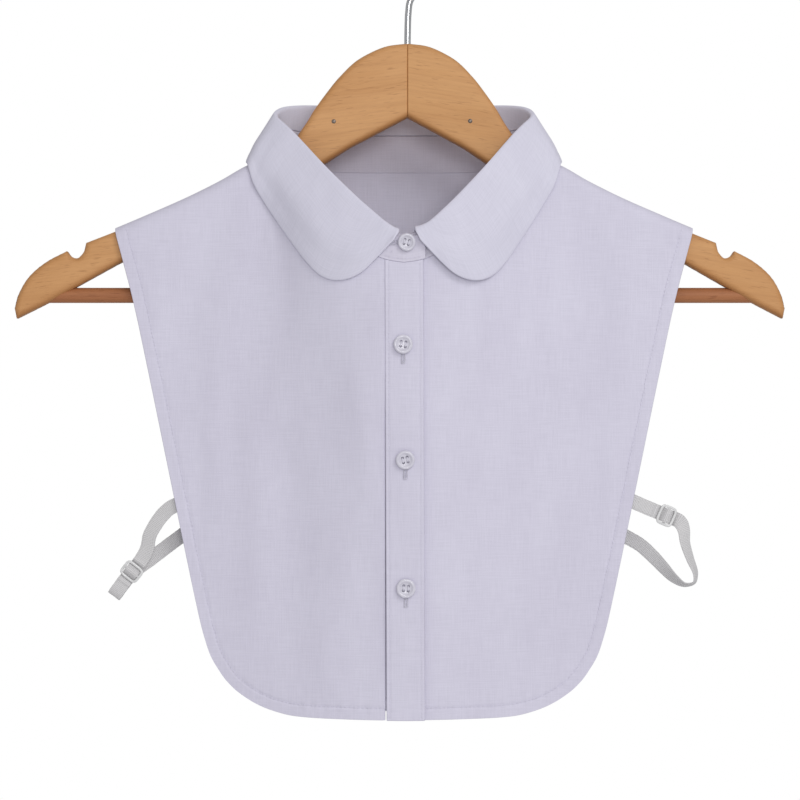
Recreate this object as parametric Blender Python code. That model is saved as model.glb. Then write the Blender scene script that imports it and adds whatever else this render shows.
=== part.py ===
# Detachable shirt collar (a dickey front and back with a collar) on a wooden hanger.
# Run with: blender --background --python part.py
#
# Sizes are in millimetres up to mesh_object, which turns them into metres.
# The origin is inside the crown of the hook, +Z is up, +X is the right of the
# front view and the front of the collar faces -Y. Tables give a "drop", which
# is measured down from the top of the wooden hanger.

import math

import bmesh
import bpy
import numpy as np
from mathutils.bvhtree import BVHTree

MM = 0.001
SEAM_GAP = 0.3               # clear space between pieces that are sewn or rest together

# The hanger
WOOD_TOP = -66.0             # height of the hanger's top, below the crown of the hook
WOOD_THICKNESS = 12.0
WOOD_ROUNDING = 3.2
ARM_SPAN = 222.5             # half span that the outline tables below are drawn for
ARM_REACH = {"left": 227.0, "right": 218.0}
BAR_DROP = 145.4
BAR_RADIUS = 4.4
BAR_END = 211.0              # half length of the bar in a 222.5 half span
BAR_HOLE_INNER = 150.0       # the bar's hole is open from here outwards
HOOK_WIRE_RADIUS = 1.9
HOOK_BEND_RADIUS = 19.0
HOOK_STEM_DEPTH = 22.0       # how far the stem goes down into the wood

# The cloth
CLOTH_SHIFT = -2.0           # the collar hangs this far to one side of the hanger's joint
PANEL_WALL = 1.2
STAND_WALL = 1.6
LEAF_WALL = 1.2
LEAF_CLEAR = 0.7             # the leaf's under side above the panels
LEAF_LIFT = 0.75             # the leaf's inner edge above the stand's top edge
LEAF_BEND = 1.5              # radius of the fold at the roll
LEAF_SKEW = 1.7              # the gap between the leaf's ends sits off centre by this much
PLACKET_WALL = 1.8
PLACKET_PROUD = 0.6
PLACKET_HALF = 10.6
SHOULDER_DEPTH = 9.0         # how far the panels stand off the arms' mid plane
CURL_POWER = 2.6             # 2 curls round over the arm, more curls squarer
FRONT_HEM_DEPTH = 26.0
BACK_HEM_DEPTH = 22.0
SIDE_HEM_DEPTH = 10.5
HEM_DROP = 388.5
STAND_LIFT = 1.0             # the stand's lower edge above the neck seam of the panels
UNDER_STEP = 2.2             # the lower layer of the collar's lap lies this far inside
UNDER_RISE = 1.4             # the under end of the collar stands this much higher
UNDERLAP = 9.4               # how far the left front goes on under the placket
UNDER_PLACKET = 1.8          # how far the left front dips in to pass under the placket
PLACKET_DRIFT = 1.0          # the placket's foot hangs this far to one side of its top
END_CORNER = 3.0             # rounding of the collar's upper end at its top corner
REACH_OF_CLOTH = 6.0         # a point by the leaf's edge that is this near to a panel is kept clear of it

# Trims
BUTTON_PROFILE = [
    # radius, height above the button's back
    (0.0, 1.5), (3.5, 1.5), (4.2, 2.2), (4.9, 2.2), (5.5, 1.5), (5.5, 0.7), (4.4, 0.0), (0.0, 0.0),
]
BUTTON_SIDES = 16
COLLAR_BUTTON_FACE = 38.8    # depth of the collar's upper end, where its button lies
BUTTON_HOLE_RADIUS = 0.8
BUTTON_HOLE_SPREAD = 1.35
SEAT_GAP = 0.5               # a button's back to the cloth
TAPE_WIDTH = 8.0
TAPE_THICKNESS = 0.8
SLIDER_BAR = 1.5
SLIDER_THICKNESS = 1.0
SLIDER_HALF_LENGTH = 5.0
WEAVE = 1.6                  # how far the tape swings to pass over and under a slider's bars

# Upper outline of one wooden arm, from the joint to the notch and round the end.
ARM_TOP = [
    # x, drop
    (0.0, 0.0), (11.6, 1.6), (21.1, 5.4), (29.8, 10.7), (38.8, 19.6), (44.6, 26.9),
    (52.1, 37.4), (57.0, 45.6), (62.0, 53.0), (68.0, 63.0), (75.0, 70.2), (84.0, 75.0),
    (95.0, 78.6), (108.0, 83.4), (128.0, 92.5), (148.0, 101.6), (168.0, 109.7), (182.0, 115.2),
]
ARM_NOTCH = [(183.4, 120.4), (186.8, 124.0), (190.6, 123.0), (193.0, 120.0)]
ARM_END = [(204.5, 126.2), (214.2, 134.6), (220.2, 144.7), (222.5, 153.0), (221.4, 158.8)]
ARM_LOWER = [(204.5, 150.2), (187.9, 140.7), (163.4, 126.9), (47.5, 69.8), (33.6, 60.5), (0.0, 42.5)]

# One half of the collar, in sections from the centre back to the front.
# seam is the neck seam, roll the top of the fold and edge the leaf's outer edge.
# An edge depth of None lies on the front panel. leg is the inner height of the leaf.
COLLAR_COLUMNS = (
    "seam_x", "seam_y", "seam_drop", "roll_x", "roll_y", "roll_drop",
    "edge_x", "edge_y", "edge_drop", "leg", "bow",
)
COLLAR_SECTIONS = [
    (0.0, 36.0, 71.6, 0.0, 33.0, 32.2, 0.0, 43.5, 77.0, 17.8, 1.5),
    (22.0, 35.6, 71.6, 22.0, 32.6, 32.2, 25.0, 43.2, 77.0, 17.8, 1.5),
    (42.0, 33.8, 71.3, 43.0, 30.6, 32.3, 50.0, 40.6, 76.5, 17.4, 1.5),
    (62.0, 25.5, 70.2, 60.5, 22.6, 33.0, 73.5, 31.0, 75.0, 15.5, 1.5),
    (74.5, 12.0, 68.5, 70.3, 11.5, 35.6, 87.0, 16.5, 71.5, 12.0, 1.5),
    (79.5, 0.0, 67.0, 73.0, 0.8, 40.6, 91.2, 2.0, 68.3, 8.0, 1.5),
    (78.1, -9.3, 70.6, 66.5, -5.5, 47.4, 87.0, None, 80.5, 7.0, 2.2),
    (71.0, -16.0, 80.5, 58.0, -11.5, 57.2, 81.0, None, 91.5, 6.4, 3.2),
    (62.0, -22.0, 89.5, 49.3, -18.0, 67.6, 73.5, None, 103.2, 5.6, 4.2),
    (53.0, -27.0, 98.0, 40.3, -24.0, 77.8, 65.2, None, 115.4, 4.8, 4.8),
    (44.0, -31.0, 106.0, 31.8, -29.0, 87.0, 57.2, None, 126.6, 4.2, 4.4),
    (35.5, -33.8, 113.0, 24.3, -32.6, 94.7, 48.5, None, 135.2, 3.6, 3.4),
    (27.0, -35.6, 118.8, 17.6, -35.0, 100.7, 38.5, None, 138.0, 3.3, 2.4),
    (19.5, -36.8, 123.0, 12.0, -36.8, 105.2, 27.6, None, 134.8, 3.6, 1.5),
    (13.0, -37.4, 125.8, 7.6, -37.6, 107.9, 17.0, None, 125.6, 3.6, 0.9),
    (8.0, -37.6, 127.3, 4.5, -38.0, 109.3, 7.6, -42.4, 115.6, 3.6, 0.2),
]
CURL_EDGE = (5.5, (89.9, -8.0, 70.7))   # section number and place of the leaf's edge over the shoulder
SIDE_SECTION = 5
LAST_SECTION = len(COLLAR_SECTIONS) - 1
NECK_FRONT = (0.0, -37.7, 128.5)        # the neck seam at the centre front
LAP_SECTION = LAST_SECTION + 1.6        # the section number of the centre front
OVER_END = -19.0                        # the collar's two ends, past the centre front
UNDER_END = 18.6
NECK_SHARE = {"front": 0.53, "back": 0.46}      # the part of a panel's top edge along the neck

SHOULDER_LINE = [
    # x, drop, beyond the neck point
    (90.4, 69.9), (106.6, 79.0), (126.3, 88.8), (150.7, 99.5), (167.0, 106.4),
]
# Armhole, rounded corner and hem of one half, from the shoulder to the centre front.
SIDE_EDGE = [
    # x, drop
    (167.0, 106.4), (156.0, 148.3), (147.0, 190.0), (136.6, 240.5), (125.6, 294.0), (114.8, 343.5),
    (110.6, 352.5), (102.6, 365.2),
]
HEM_EDGE = [(102.6, 365.2), (85.0, 379.2), (64.0, 386.2), (34.0, 388.2), (0.0, HEM_DROP)]

BUTTON_ROWS = [
    # x from the collar's middle, drop of each button down the front
    (-0.5, 174.5), (0.7, 239.9), (1.1, 313.0),
]
COLLAR_BUTTON = (1.5, 116.9)

# Routes of the side tapes: x from the collar's middle, y, drop, and how far the
# tape is turned, in degrees, from lying flat to the front view.
LEFT_TAPE = [
    # from the back panel down to the fold, then up again to the front panel
    (-119.0, 7.4, 275.4, 8), (-126.5, 6.6, 282.6, 8), (-137.0, 5.0, 290.6, 6), (-147.0, 3.4, 298.2, 4),
    (-157.0, 2.4, 305.6, 0), (-163.0, 1.6, 312.6, 0), (-166.6, 0.2, 317.6, 0), (-167.8, -1.6, 319.2, 0),
    (-166.2, -3.2, 317.0, 0), (-162.6, -3.4, 312.0, 0), (-157.4, -3.4, 305.2, 0), (-152.0, -3.4, 298.6, 0),
    (-148.4, -3.9, 291.6, 8), (-147.0, -4.8, 284.6, 12), (-143.6, -5.2, 278.2, 10), (-139.4, -5.6, 272.4, 6),
    (-134.4, -6.7, 268.0, 4), (-127.4, -7.6, 265.2, 2), (-120.4, -7.8, 264.6, 0),
]
RIGHT_TAPE = [
    # from the front panel through the slider, down to the turn and up to the back panel
    (121.0, -7.8, 259.0, 0), (131.0, -7.2, 264.0, 0), (139.6, -5.6, 267.8, 0), (146.6, -5.2, 270.7, 0),
    (153.0, -5.2, 273.4, 0), (158.9, -5.2, 276.0, 0), (161.6, -4.6, 280.9, 24), (162.6, -3.6, 288.6, 42),
    (165.6, -2.6, 298.0, 54), (168.8, -1.6, 306.4, 66), (168.0, 0.6, 311.8, 74), (162.8, 2.6, 313.0, 70),
    (156.6, 4.0, 309.4, 52), (150.6, 4.8, 303.2, 34), (145.2, 5.6, 297.4, 22), (137.8, 6.4, 290.6, 14),
    (130.4, 7.0, 286.2, 8), (121.4, 7.4, 281.6, 4),
]
LEFT_SLIDER_AT = (-157.4, 305.2)        # x and drop on the front run of each tape
RIGHT_SLIDER_AT = (151.6, 272.8)

COTTON = ("cotton", (0.78, 0.76, 0.84, 1.0), 0.85, 0.0)
COTTON_EDGE = ("cotton_double", (0.80, 0.78, 0.86, 1.0), 0.85, 0.0)
BUTTON_PLASTIC = ("button_plastic", (0.84, 0.83, 0.87, 1.0), 0.3, 0.0)
ELASTIC = ("elastic", (0.74, 0.73, 0.74, 1.0), 0.8, 0.0)
SLIDER_PLASTIC = ("slider_plastic", (0.82, 0.82, 0.83, 1.0), 0.3, 0.0)
WOOD = ("wood", (0.60, 0.33, 0.14, 1.0), 0.45, 0.0)
BAR_WOOD = ("bar_wood", (0.45, 0.20, 0.09, 1.0), 0.45, 0.0)
CHROME = ("chrome", (0.75, 0.76, 0.78, 1.0), 0.15, 1.0)


def clear_scene():
    for thing in list(bpy.data.objects):
        bpy.data.objects.remove(thing, do_unlink=True)


def material(spec):
    name, colour, roughness, metallic = spec
    existing = bpy.data.materials.get(name)
    if existing:
        return existing
    made = bpy.data.materials.new(name)
    made.use_nodes = True
    shader = made.node_tree.nodes["Principled BSDF"]
    shader.inputs["Base Color"].default_value = colour
    shader.inputs["Roughness"].default_value = roughness
    shader.inputs["Metallic"].default_value = metallic
    made.diffuse_color = colour
    return made


def mesh_object(name, points, faces, spec):
    # points in millimetres become one object, whose faces are turned outwards
    mesh = bpy.data.meshes.new(name)
    mesh.from_pydata((np.asarray(points, dtype=float) * MM).tolist(), [], faces)
    shell = bmesh.new()
    shell.from_mesh(mesh)
    bmesh.ops.recalc_face_normals(shell, faces=shell.faces)
    if shell.calc_volume(signed=True) < 0:
        bmesh.ops.reverse_faces(shell, faces=shell.faces)
    shell.to_mesh(mesh)
    shell.free()
    mesh.materials.append(material(spec))
    mesh.shade_smooth()
    mesh.set_sharp_from_angle(angle=math.radians(40))
    made = bpy.data.objects.new(name, mesh)
    bpy.context.collection.objects.link(made)
    return made


def height(drop):
    return WOOD_TOP - np.asarray(drop, dtype=float)


def smooth_step(amount):
    amount = np.clip(amount, 0.0, 1.0)
    return amount * amount * (3.0 - 2.0 * amount)


def through(knots, rows, where):
    # a smooth curve through the rows, as cubic pieces with the neighbours' mean slope
    knots = np.asarray(knots, dtype=float)
    rows = np.asarray(rows, dtype=float)
    slope = np.empty_like(rows)
    slope[1:-1] = (rows[2:] - rows[:-2]) / (knots[2:] - knots[:-2])[:, None]
    slope[0] = (rows[1] - rows[0]) / (knots[1] - knots[0])
    slope[-1] = (rows[-1] - rows[-2]) / (knots[-1] - knots[-2])
    where = np.asarray(where, dtype=float)
    piece = np.clip(np.searchsorted(knots, where, side="right") - 1, 0, len(knots) - 2)
    step = (knots[piece + 1] - knots[piece])[..., None]
    t = (where - knots[piece])[..., None] / step
    start = (2 * t**3 - 3 * t**2 + 1) * rows[piece] + (t**3 - 2 * t**2 + t) * step * slope[piece]
    end = (3 * t**2 - 2 * t**3) * rows[piece + 1] + (t**3 - t**2) * step * slope[piece + 1]
    return start + end


def by_length(rows, fractions):
    # points at these fractions of the length of the smooth curve through the rows
    rows = np.asarray(rows, dtype=float)
    chords = np.concatenate([[0.0], np.cumsum(np.linalg.norm(np.diff(rows, axis=0), axis=1))])
    fine = np.linspace(0.0, chords[-1], 400)
    line = through(chords, rows, fine)
    run = np.concatenate([[0.0], np.cumsum(np.linalg.norm(np.diff(line, axis=0), axis=1))])
    wanted = np.asarray(fractions, dtype=float) * run[-1]
    return np.stack([np.interp(wanted, run, line[:, axis]) for axis in range(rows.shape[1])], axis=-1)


def unit(vectors):
    return vectors / np.maximum(np.linalg.norm(vectors, axis=-1, keepdims=True), 1e-9)


def grid_normals(grid):
    # unit normals of a grid of points, from its neighbours along both directions
    across = np.gradient(grid, axis=0)
    along = np.gradient(grid, axis=1)
    normals = np.cross(across, along)
    square = np.linalg.norm(across, axis=-1) * np.linalg.norm(along, axis=-1)
    weak = np.linalg.norm(normals, axis=-1) < 1e-3 * square
    normals = unit(normals)
    for row, column in zip(*np.nonzero(weak)):
        near = normals[max(row - 1, 0):row + 2, max(column - 1, 0):column + 2].reshape(-1, 3)
        normals[row, column] = unit(near.sum(axis=0))
    return normals


def wall_object(name, face, back, spec):
    # a closed wall between two grids of points of the same shape
    rows, columns = face.shape[:2]
    count = rows * columns
    points = np.concatenate([face.reshape(-1, 3), back.reshape(-1, 3)])
    index = np.arange(count).reshape(rows, columns)
    a, b, c, d = index[:-1, :-1], index[1:, :-1], index[1:, 1:], index[:-1, 1:]
    front_faces = np.stack([a, b, c, d], axis=-1).reshape(-1, 4)
    faces = front_faces.tolist() + (front_faces[:, ::-1] + count).tolist()
    rim = np.concatenate([index[:-1, 0], index[-1, :-1], index[:0:-1, -1], index[0, :0:-1]])
    for start, end in zip(rim, np.roll(rim, -1)):
        faces.append([int(end), int(start), int(start) + count, int(end) + count])
    return mesh_object(name, points, faces, spec)


def tube_object(name, path, radius, sides, spec):
    # a round bar or wire along the path, with domed ends
    path = np.asarray(path, dtype=float)
    tangent = unit(np.gradient(path, axis=0))
    side = unit(np.cross(tangent, [0.0, 1.0, 0.0]))
    other = np.cross(side, tangent)
    angle = np.linspace(0.0, 2 * math.pi, sides, endpoint=False)
    cosine = np.cos(angle)[None, :, None]
    sine = np.sin(angle)[None, :, None]
    ring = cosine * side[:, None, :] + sine * other[:, None, :]
    sizes = np.full(len(path), radius)
    sizes[[0, -1]] = 0.62 * radius
    points = (path[:, None, :] + sizes[:, None, None] * ring).reshape(-1, 3)
    index = np.arange(len(points)).reshape(len(path), sides)
    after = np.roll(index, -1, axis=1)
    faces = np.stack([index[:-1], after[:-1], after[1:], index[1:]], axis=-1).reshape(-1, 4).tolist()
    faces.append(index[0, ::-1].tolist())
    faces.append(index[-1].tolist())
    return mesh_object(name, points, faces, spec)


def cylinder_cutter(name, centre, radius, length, axis, sides=24):
    # a guide cylinder that cuts a hole, along axis 0 (X), 1 (Y) or 2 (Z)
    shell = bmesh.new()
    bmesh.ops.create_cone(
        shell, cap_ends=True, segments=sides, radius1=radius * MM, radius2=radius * MM, depth=length * MM)
    mesh = bpy.data.meshes.new(name)
    shell.to_mesh(mesh)
    shell.free()
    made = bpy.data.objects.new(name, mesh)
    made.location = [value * MM for value in centre]
    made.rotation_euler = [(0.0, math.pi / 2, 0.0), (math.pi / 2, 0.0, 0.0), (0.0, 0.0, 0.0)][axis]
    made.display_type = "WIRE"
    made.hide_render = True
    bpy.context.collection.objects.link(made)
    return made


def cut(target, cutter):
    step = target.modifiers.new("cut " + cutter.name, "BOOLEAN")
    step.operation = "DIFFERENCE"
    step.solver = "EXACT"
    step.object = cutter


# The shape of the cloth

def collar_table():
    # the sections as arrays, with a last one at the centre front for the neck seam
    rows = {}
    for place, name in enumerate(COLLAR_COLUMNS):
        rows[name] = [section[place] for section in COLLAR_SECTIONS]
    seam = np.array([rows["seam_x"], rows["seam_y"], rows["seam_drop"]], dtype=float).T
    return rows, np.vstack([seam, NECK_FRONT])


TABLE, SEAM_ROWS = collar_table()
SECTION_KNOTS = np.arange(LAST_SECTION + 1, dtype=float)
SEAM_KNOTS = np.append(SECTION_KNOTS, LAP_SECTION)


def mirrored_curve(knots, rows, where):
    # a curve through the rows that meets its mirror image smoothly at the centre back
    rows = np.asarray(rows, dtype=float)
    flipped = rows[:0:-1].copy()
    flipped[:, 0] *= -1
    whole_knots = np.concatenate([-np.asarray(knots)[:0:-1], knots])
    return through(whole_knots, np.vstack([flipped, rows]), where)


def neck_seam(where):
    # the neck seam at any section, and past the centre front on the other side's sections
    where = np.asarray(where, dtype=float)
    folded = np.where(np.abs(where) > LAP_SECTION, np.sign(where) * (2 * LAP_SECTION - np.abs(where)), where)
    points = mirrored_curve(SEAM_KNOTS, SEAM_ROWS, folded)
    points[..., 0] *= np.where(np.abs(where) > LAP_SECTION, -1.0, 1.0)
    return points


def shoulder_top(fractions):
    # the shoulder seam from the neck point to its outer end
    rows = [(SEAM_ROWS[SIDE_SECTION][0], SEAM_ROWS[SIDE_SECTION][2])] + SHOULDER_LINE
    return by_length(rows, fractions)


def top_edge(face, across):
    # x, y and drop along the upper edge of one half: neck curve, then shoulder seam
    share = NECK_SHARE[face]
    along_neck = np.clip(across / share, 0.0, 1.0)
    along_shoulder = np.clip((across - share) / (1.0 - share), 0.0, 1.0)
    if face == "front":
        neck = neck_seam(LAP_SECTION + (SIDE_SECTION - LAP_SECTION) * along_neck)
    else:
        neck = neck_seam(SIDE_SECTION * along_neck)
    shoulder = shoulder_top(along_shoulder)
    ridge = np.stack([shoulder[..., 0], np.zeros_like(across), shoulder[..., 1]], axis=-1)
    return np.where((across <= share)[..., None], neck, ridge)


def panel(face, across, down):
    # One half of the front or back: across runs from the centre line to the armhole
    # and down from the neck and shoulder to the hem. The outline is blended inwards
    # from its four edges, and the depth likewise with an even start at the centre.
    sign = -1.0 if face == "front" else 1.0
    hem_depth = FRONT_HEM_DEPTH if face == "front" else BACK_HEM_DEPTH
    top = top_edge(face, across)
    first = top_edge(face, np.zeros_like(across))
    last = top_edge(face, np.ones_like(across))
    hem = by_length(HEM_EDGE[::-1], across)
    side = by_length(SIDE_EDGE, down)
    hem_start = np.array(HEM_EDGE[-1])
    hem_end = np.array(HEM_EDGE[0])
    outline = (1 - down)[..., None] * top[..., [0, 2]] + down[..., None] * hem
    middle = np.stack([np.zeros_like(down), first[..., 2] + (HEM_DROP - first[..., 2]) * down], axis=-1)
    corners_first = (1 - down)[..., None] * first[..., [0, 2]] + down[..., None] * hem_start
    corners_last = (1 - down)[..., None] * last[..., [0, 2]] + down[..., None] * hem_end
    outline = outline + (1 - across)[..., None] * (middle - corners_first)
    outline = outline + across[..., None] * (side - corners_last)

    even = smooth_step(across)
    stand_off = np.maximum(sign * top[..., 1], SHOULDER_DEPTH)
    neck_depth = sign * first[..., 1]
    centre = neck_depth + (hem_depth - neck_depth) * (0.35 * down + 0.65 * smooth_step(down))
    hem_line = hem_depth + (SIDE_HEM_DEPTH - hem_depth) * smooth_step(across)
    side_line = SHOULDER_DEPTH + (SIDE_HEM_DEPTH - SHOULDER_DEPTH) * down
    depth = (1 - down) * stand_off + down * hem_line
    depth = depth + (1 - even) * (centre - (1 - down) * neck_depth - down * hem_depth)
    depth = depth + even * (side_line - (1 - down) * SHOULDER_DEPTH - down * SIDE_HEM_DEPTH)

    # over the top of the wooden arm the cloth curls in to the shoulder seam
    fall = np.clip((outline[..., 1] - top[..., 2]) / SHOULDER_DEPTH, 0.0, 1.0)
    curl = (1.0 - (1.0 - fall) ** CURL_POWER) ** (1.0 / CURL_POWER)
    tuck = stand_off - sign * top[..., 1]
    depth = depth - tuck * (1.0 - curl)
    depth = np.maximum(depth, SEAM_GAP / 2)
    return np.stack([outline[..., 0], sign * depth, outline[..., 1]], axis=-1)


def panel_signed(face, across, down):
    # the same surface, with the mirrored half where across is negative
    points = panel(face, np.abs(across), down)
    points[..., 0] *= np.where(across < 0, -1.0, 1.0)
    return points


def to_world(points):
    placed = np.array(points, dtype=float)
    placed[..., 0] += CLOTH_SHIFT
    placed[..., 2] = WOOD_TOP - placed[..., 2]
    return placed


def rows_down(count):
    # row positions, close together over the arm and wider apart below it
    near = np.array([0.0, 1.0, 2.6, 5.0, 8.2, 12.5, 19.0, 28.0]) / 282.0
    return np.concatenate([near, np.linspace(near[-1], 1.0, count)[1:]])


def across_at(face, wanted_x, down):
    # where each row of a panel reaches a given distance from the centre line
    fine = np.linspace(0.0, 0.6, 241)
    reach = panel(face, fine[None, :] + 0 * down[:, None], down[:, None] + 0 * fine[None, :])[..., 0]
    return np.array([np.interp(wanted, line, fine) for wanted, line in zip(wanted_x, reach)])


def fine_front():
    # a fine set of points of the front's right half, to look up its depth at a place
    rows = np.concatenate([np.linspace(0.0, 0.1, 40), np.linspace(0.1, 1.0, 120)[1:]])
    across, down = np.meshgrid(np.linspace(0.0, 1.0, 120), rows)
    return panel("front", across, down).reshape(-1, 3)


FRONT_POINTS = fine_front()
LAID_FACES = []              # a search tree of each outer face that the leaf lies over


def front_depth(x, drop):
    # depth of the front panel's face, from the four nearest of its points
    gap = np.hypot(FRONT_POINTS[:, 0] - abs(x), FRONT_POINTS[:, 2] - drop)
    near = np.argsort(gap)[:4]
    weight = 1.0 / (gap[near] + 0.05)
    return float((FRONT_POINTS[near, 1] * weight).sum() / weight.sum())


def outer_tree(grid):
    # a search tree of a piece's outer face, its triangles turned away from the neck's middle
    rows, columns = grid.shape[:2]
    index = np.arange(rows * columns).reshape(rows, columns)
    a, b, c, d = index[:-1, :-1], index[1:, :-1], index[1:, 1:], index[:-1, 1:]
    first = np.stack([a, b, c], axis=-1).reshape(-1, 3)
    second = np.stack([a, c, d], axis=-1).reshape(-1, 3)
    faces = np.concatenate([first, second])
    points = grid.reshape(-1, 3)
    corners = points[faces]
    normals = np.cross(corners[:, 1] - corners[:, 0], corners[:, 2] - corners[:, 0])
    away = corners.mean(axis=1) - [CLOTH_SHIFT, 0.0, 0.0]
    if (normals[:, :2] * away[:, :2]).sum() < 0:
        faces = faces[:, ::-1]
    return BVHTree.FromPolygons(points.tolist(), faces.tolist())


def laid_on_cloth(points, clearance, furthest):
    # points too close to the cloth below them, or inside it, are moved out along its normal
    placed = np.array(points, dtype=float)
    for point in placed.reshape(-1, 3):
        for tree in LAID_FACES:
            spot, normal, _, gap = tree.find_nearest(point.tolist())
            away = point - np.array(spot)
            standing = float(away @ np.array(normal))
            beside = np.linalg.norm(away - standing * np.array(normal))
            short = clearance - standing
            above = gap < REACH_OF_CLOTH and beside < 0.3 and normal[2] > -0.3
            if above and 0.0 < short < furthest:
                point += short * np.array(normal)
    return placed


def build_panel(name, grid, spec=COTTON):
    # the face is the outer side, and the wall is laid inside it
    placed = to_world(grid)
    normals = grid_normals(placed)
    outwards = np.sign(placed[..., 1:2].mean())
    normals = normals * np.sign((normals[..., 1] * outwards).sum())
    LAID_FACES.append(outer_tree(placed))
    inner = placed - PANEL_WALL * normals
    keep_out = outwards * SEAM_GAP / 2
    if outwards < 0:
        inner[..., 1] = np.minimum(inner[..., 1], keep_out)
    else:
        inner[..., 1] = np.maximum(inner[..., 1], keep_out)
    return wall_object(name, placed, inner, spec)


def across_positions(face, start, count):
    # column positions of a panel, closer together near the neck point, where one lies
    share = NECK_SHARE[face]
    closer = 1.0 - (1.0 - np.linspace(0.0, 1.0, count - 3)) ** 1.5
    inner = closer[None, :] * (share - start[:, None]) + start[:, None]
    outer = share + (1.0 - share) * np.linspace(0.0, 1.0, 7)[None, 1:] ** 1.4 + 0 * start[:, None]
    return np.concatenate([inner, outer], axis=1)


def build_fronts():
    down = rows_down(14)
    reach = np.full_like(down, PLACKET_HALF + SEAM_GAP)
    start = across_at("front", reach, down)
    across = across_positions("front", start, 14)
    grid = panel("front", across, down[:, None] + 0 * across)
    grid[..., 0] *= -1
    build_panel("front_right", grid)

    lap = -across_at("front", np.full_like(down, UNDERLAP), down)
    across = across_positions("front", lap, 18)
    grid = panel_signed("front", across, down[:, None] + 0 * across)
    grid[..., 1] += UNDER_PLACKET * (1.0 - smooth_step((grid[..., 0] - 24.0) / 40.0))
    build_panel("front_left", grid)


def build_placket():
    down = np.linspace(0.0, 1.0, 24)
    across = across_at("front", np.full_like(down, PLACKET_HALF), down)
    spread = np.linspace(-1.0, 1.0, 7)
    grid = panel_signed("front", across[:, None] * spread[None, :], down[:, None] + 0 * spread[None, :])
    grid[..., 0] += PLACKET_DRIFT * down[:, None]
    face = to_world(grid)
    face[..., 1] -= PLACKET_PROUD
    back = face.copy()
    back[..., 1] += PLACKET_WALL
    wall_object("placket", face, back, COTTON_EDGE)


def build_back():
    down = rows_down(14)
    half = across_positions("back", np.zeros_like(down), 14)
    across = np.concatenate([-half[:, :0:-1], half], axis=1)
    grid = panel_signed("back", across, down[:, None] + 0 * across)
    build_panel("back_panel", grid)


# The collar

def roll_curve(where):
    rows = np.array([TABLE["roll_x"], TABLE["roll_y"], TABLE["roll_drop"]], dtype=float).T
    curve = mirrored_curve(SECTION_KNOTS, rows, np.clip(where, -LAST_SECTION, LAST_SECTION))
    curve[..., 2] -= UNDER_RISE * smooth_step((where - LAST_SECTION + 2.5) / 2.5)
    return curve


def leg_length(where):
    legs = np.array(TABLE["leg"], dtype=float)[:, None]
    return through(SECTION_KNOTS, legs, np.clip(np.abs(where), 0, LAST_SECTION))[..., 0]


def outward(where):
    # level unit vectors out of the collar's ring, square to the neck seam
    way = neck_seam(where + 0.05) - neck_seam(where - 0.05)
    side = np.stack([way[..., 1], -way[..., 0], 0 * way[..., 0]], axis=-1)
    facing = np.sign((side * neck_seam(where)).sum(axis=-1, keepdims=True))
    return unit(side) * facing


def under_amount(where):
    # 1 where the collar's left end runs inside the right end
    return smooth_step((where - (LAST_SECTION - 4.5)) / 3.5)


def stand_top(where):
    # the stand's upper edge lies below the roll by the height of the leaf's inner leg
    seam = neck_seam(where)
    inside = np.abs(where) <= LAST_SECTION
    roll = roll_curve(where)
    rise = unit(roll - seam)
    edge = roll - rise * leg_length(where)[..., None]
    last = np.sign(where) * LAST_SECTION
    straight = seam + (stand_edge_at_end(last) - neck_seam(last))
    return np.where(inside[..., None], edge, straight)


def stand_edge_at_end(where):
    seam = neck_seam(where)
    roll = roll_curve(where)
    edge = roll - unit(roll - seam) * leg_length(where)[..., None]
    edge[..., 0] = seam[..., 0]
    return edge


def leaf_positions():
    # the sections at which the leaf is cut, which the stand below it shares
    # closer together where the neck point's curl lies below the leaf
    curl = SIDE_SECTION + np.array([0.0, 0.2, 0.32, 0.44, 0.56, 0.68, 0.8, 0.95, 1.15, 1.4, 1.7])
    front = np.concatenate([curl, np.linspace(SIDE_SECTION + 2.1, LAST_SECTION, 16)])
    return np.concatenate([-front[::-1], np.linspace(-SIDE_SECTION, SIDE_SECTION, 17)[1:-1], front])


def build_stand():
    # The ring starts with the under end at the front, goes round the right of the
    # front view, the back and the left, and ends with the upper end past the middle.
    under_part = np.linspace(UNDER_END, LAST_SECTION, 8)[:-1]
    over_part = np.linspace(-LAST_SECTION, OVER_END, 9)[1:]
    where = np.concatenate([under_part, leaf_positions()[::-1], over_part])
    seam = neck_seam(where)
    top = stand_top(where)
    out = outward(where)
    under = under_amount(where)
    seam = seam - out * (UNDER_STEP * under)[:, None]
    top = top - out * (UNDER_STEP * under)[:, None]
    rise = unit(top - seam)
    seam = seam + rise * STAND_LIFT
    steps = np.linspace(0.0, 1.0, 3)[None, :, None]
    middle = seam[:, None, :] * (1 - steps) + top[:, None, :] * steps
    # the upper end is rounded off at its top corner
    middle[:, -1, 2] += END_CORNER * smooth_step((OVER_END + 0.9 - where) / 0.9)
    placed = to_world(middle)
    normals = grid_normals(placed) * (STAND_WALL / 2)
    normals = normals * np.sign((normals[:, 0] * out).sum())
    # the leaf is kept clear of this face, also just below its lower edge
    outer = placed + normals
    below = outer[:, :1] - (outer[:, 1:2] - outer[:, :1])
    LAID_FACES.append(outer_tree(np.concatenate([below, outer], axis=1)))
    wall_object("collar_stand", placed + normals, placed - normals, COTTON_EDGE)


def leaf_edge(where):
    # the leaf's outer edge, laid on the front panel where the table gives no depth
    rows = []
    for x, y, drop in zip(TABLE["edge_x"], TABLE["edge_y"], TABLE["edge_drop"]):
        if y is None:
            y = front_depth(x, drop) - LEAF_WALL / 2 - 1.0
        rows.append((x, y, drop))
    knot, place = CURL_EDGE
    rows.insert(SIDE_SECTION + 1, place)
    return mirrored_curve(np.insert(SECTION_KNOTS, SIDE_SECTION + 1, knot), rows, where)


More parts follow.
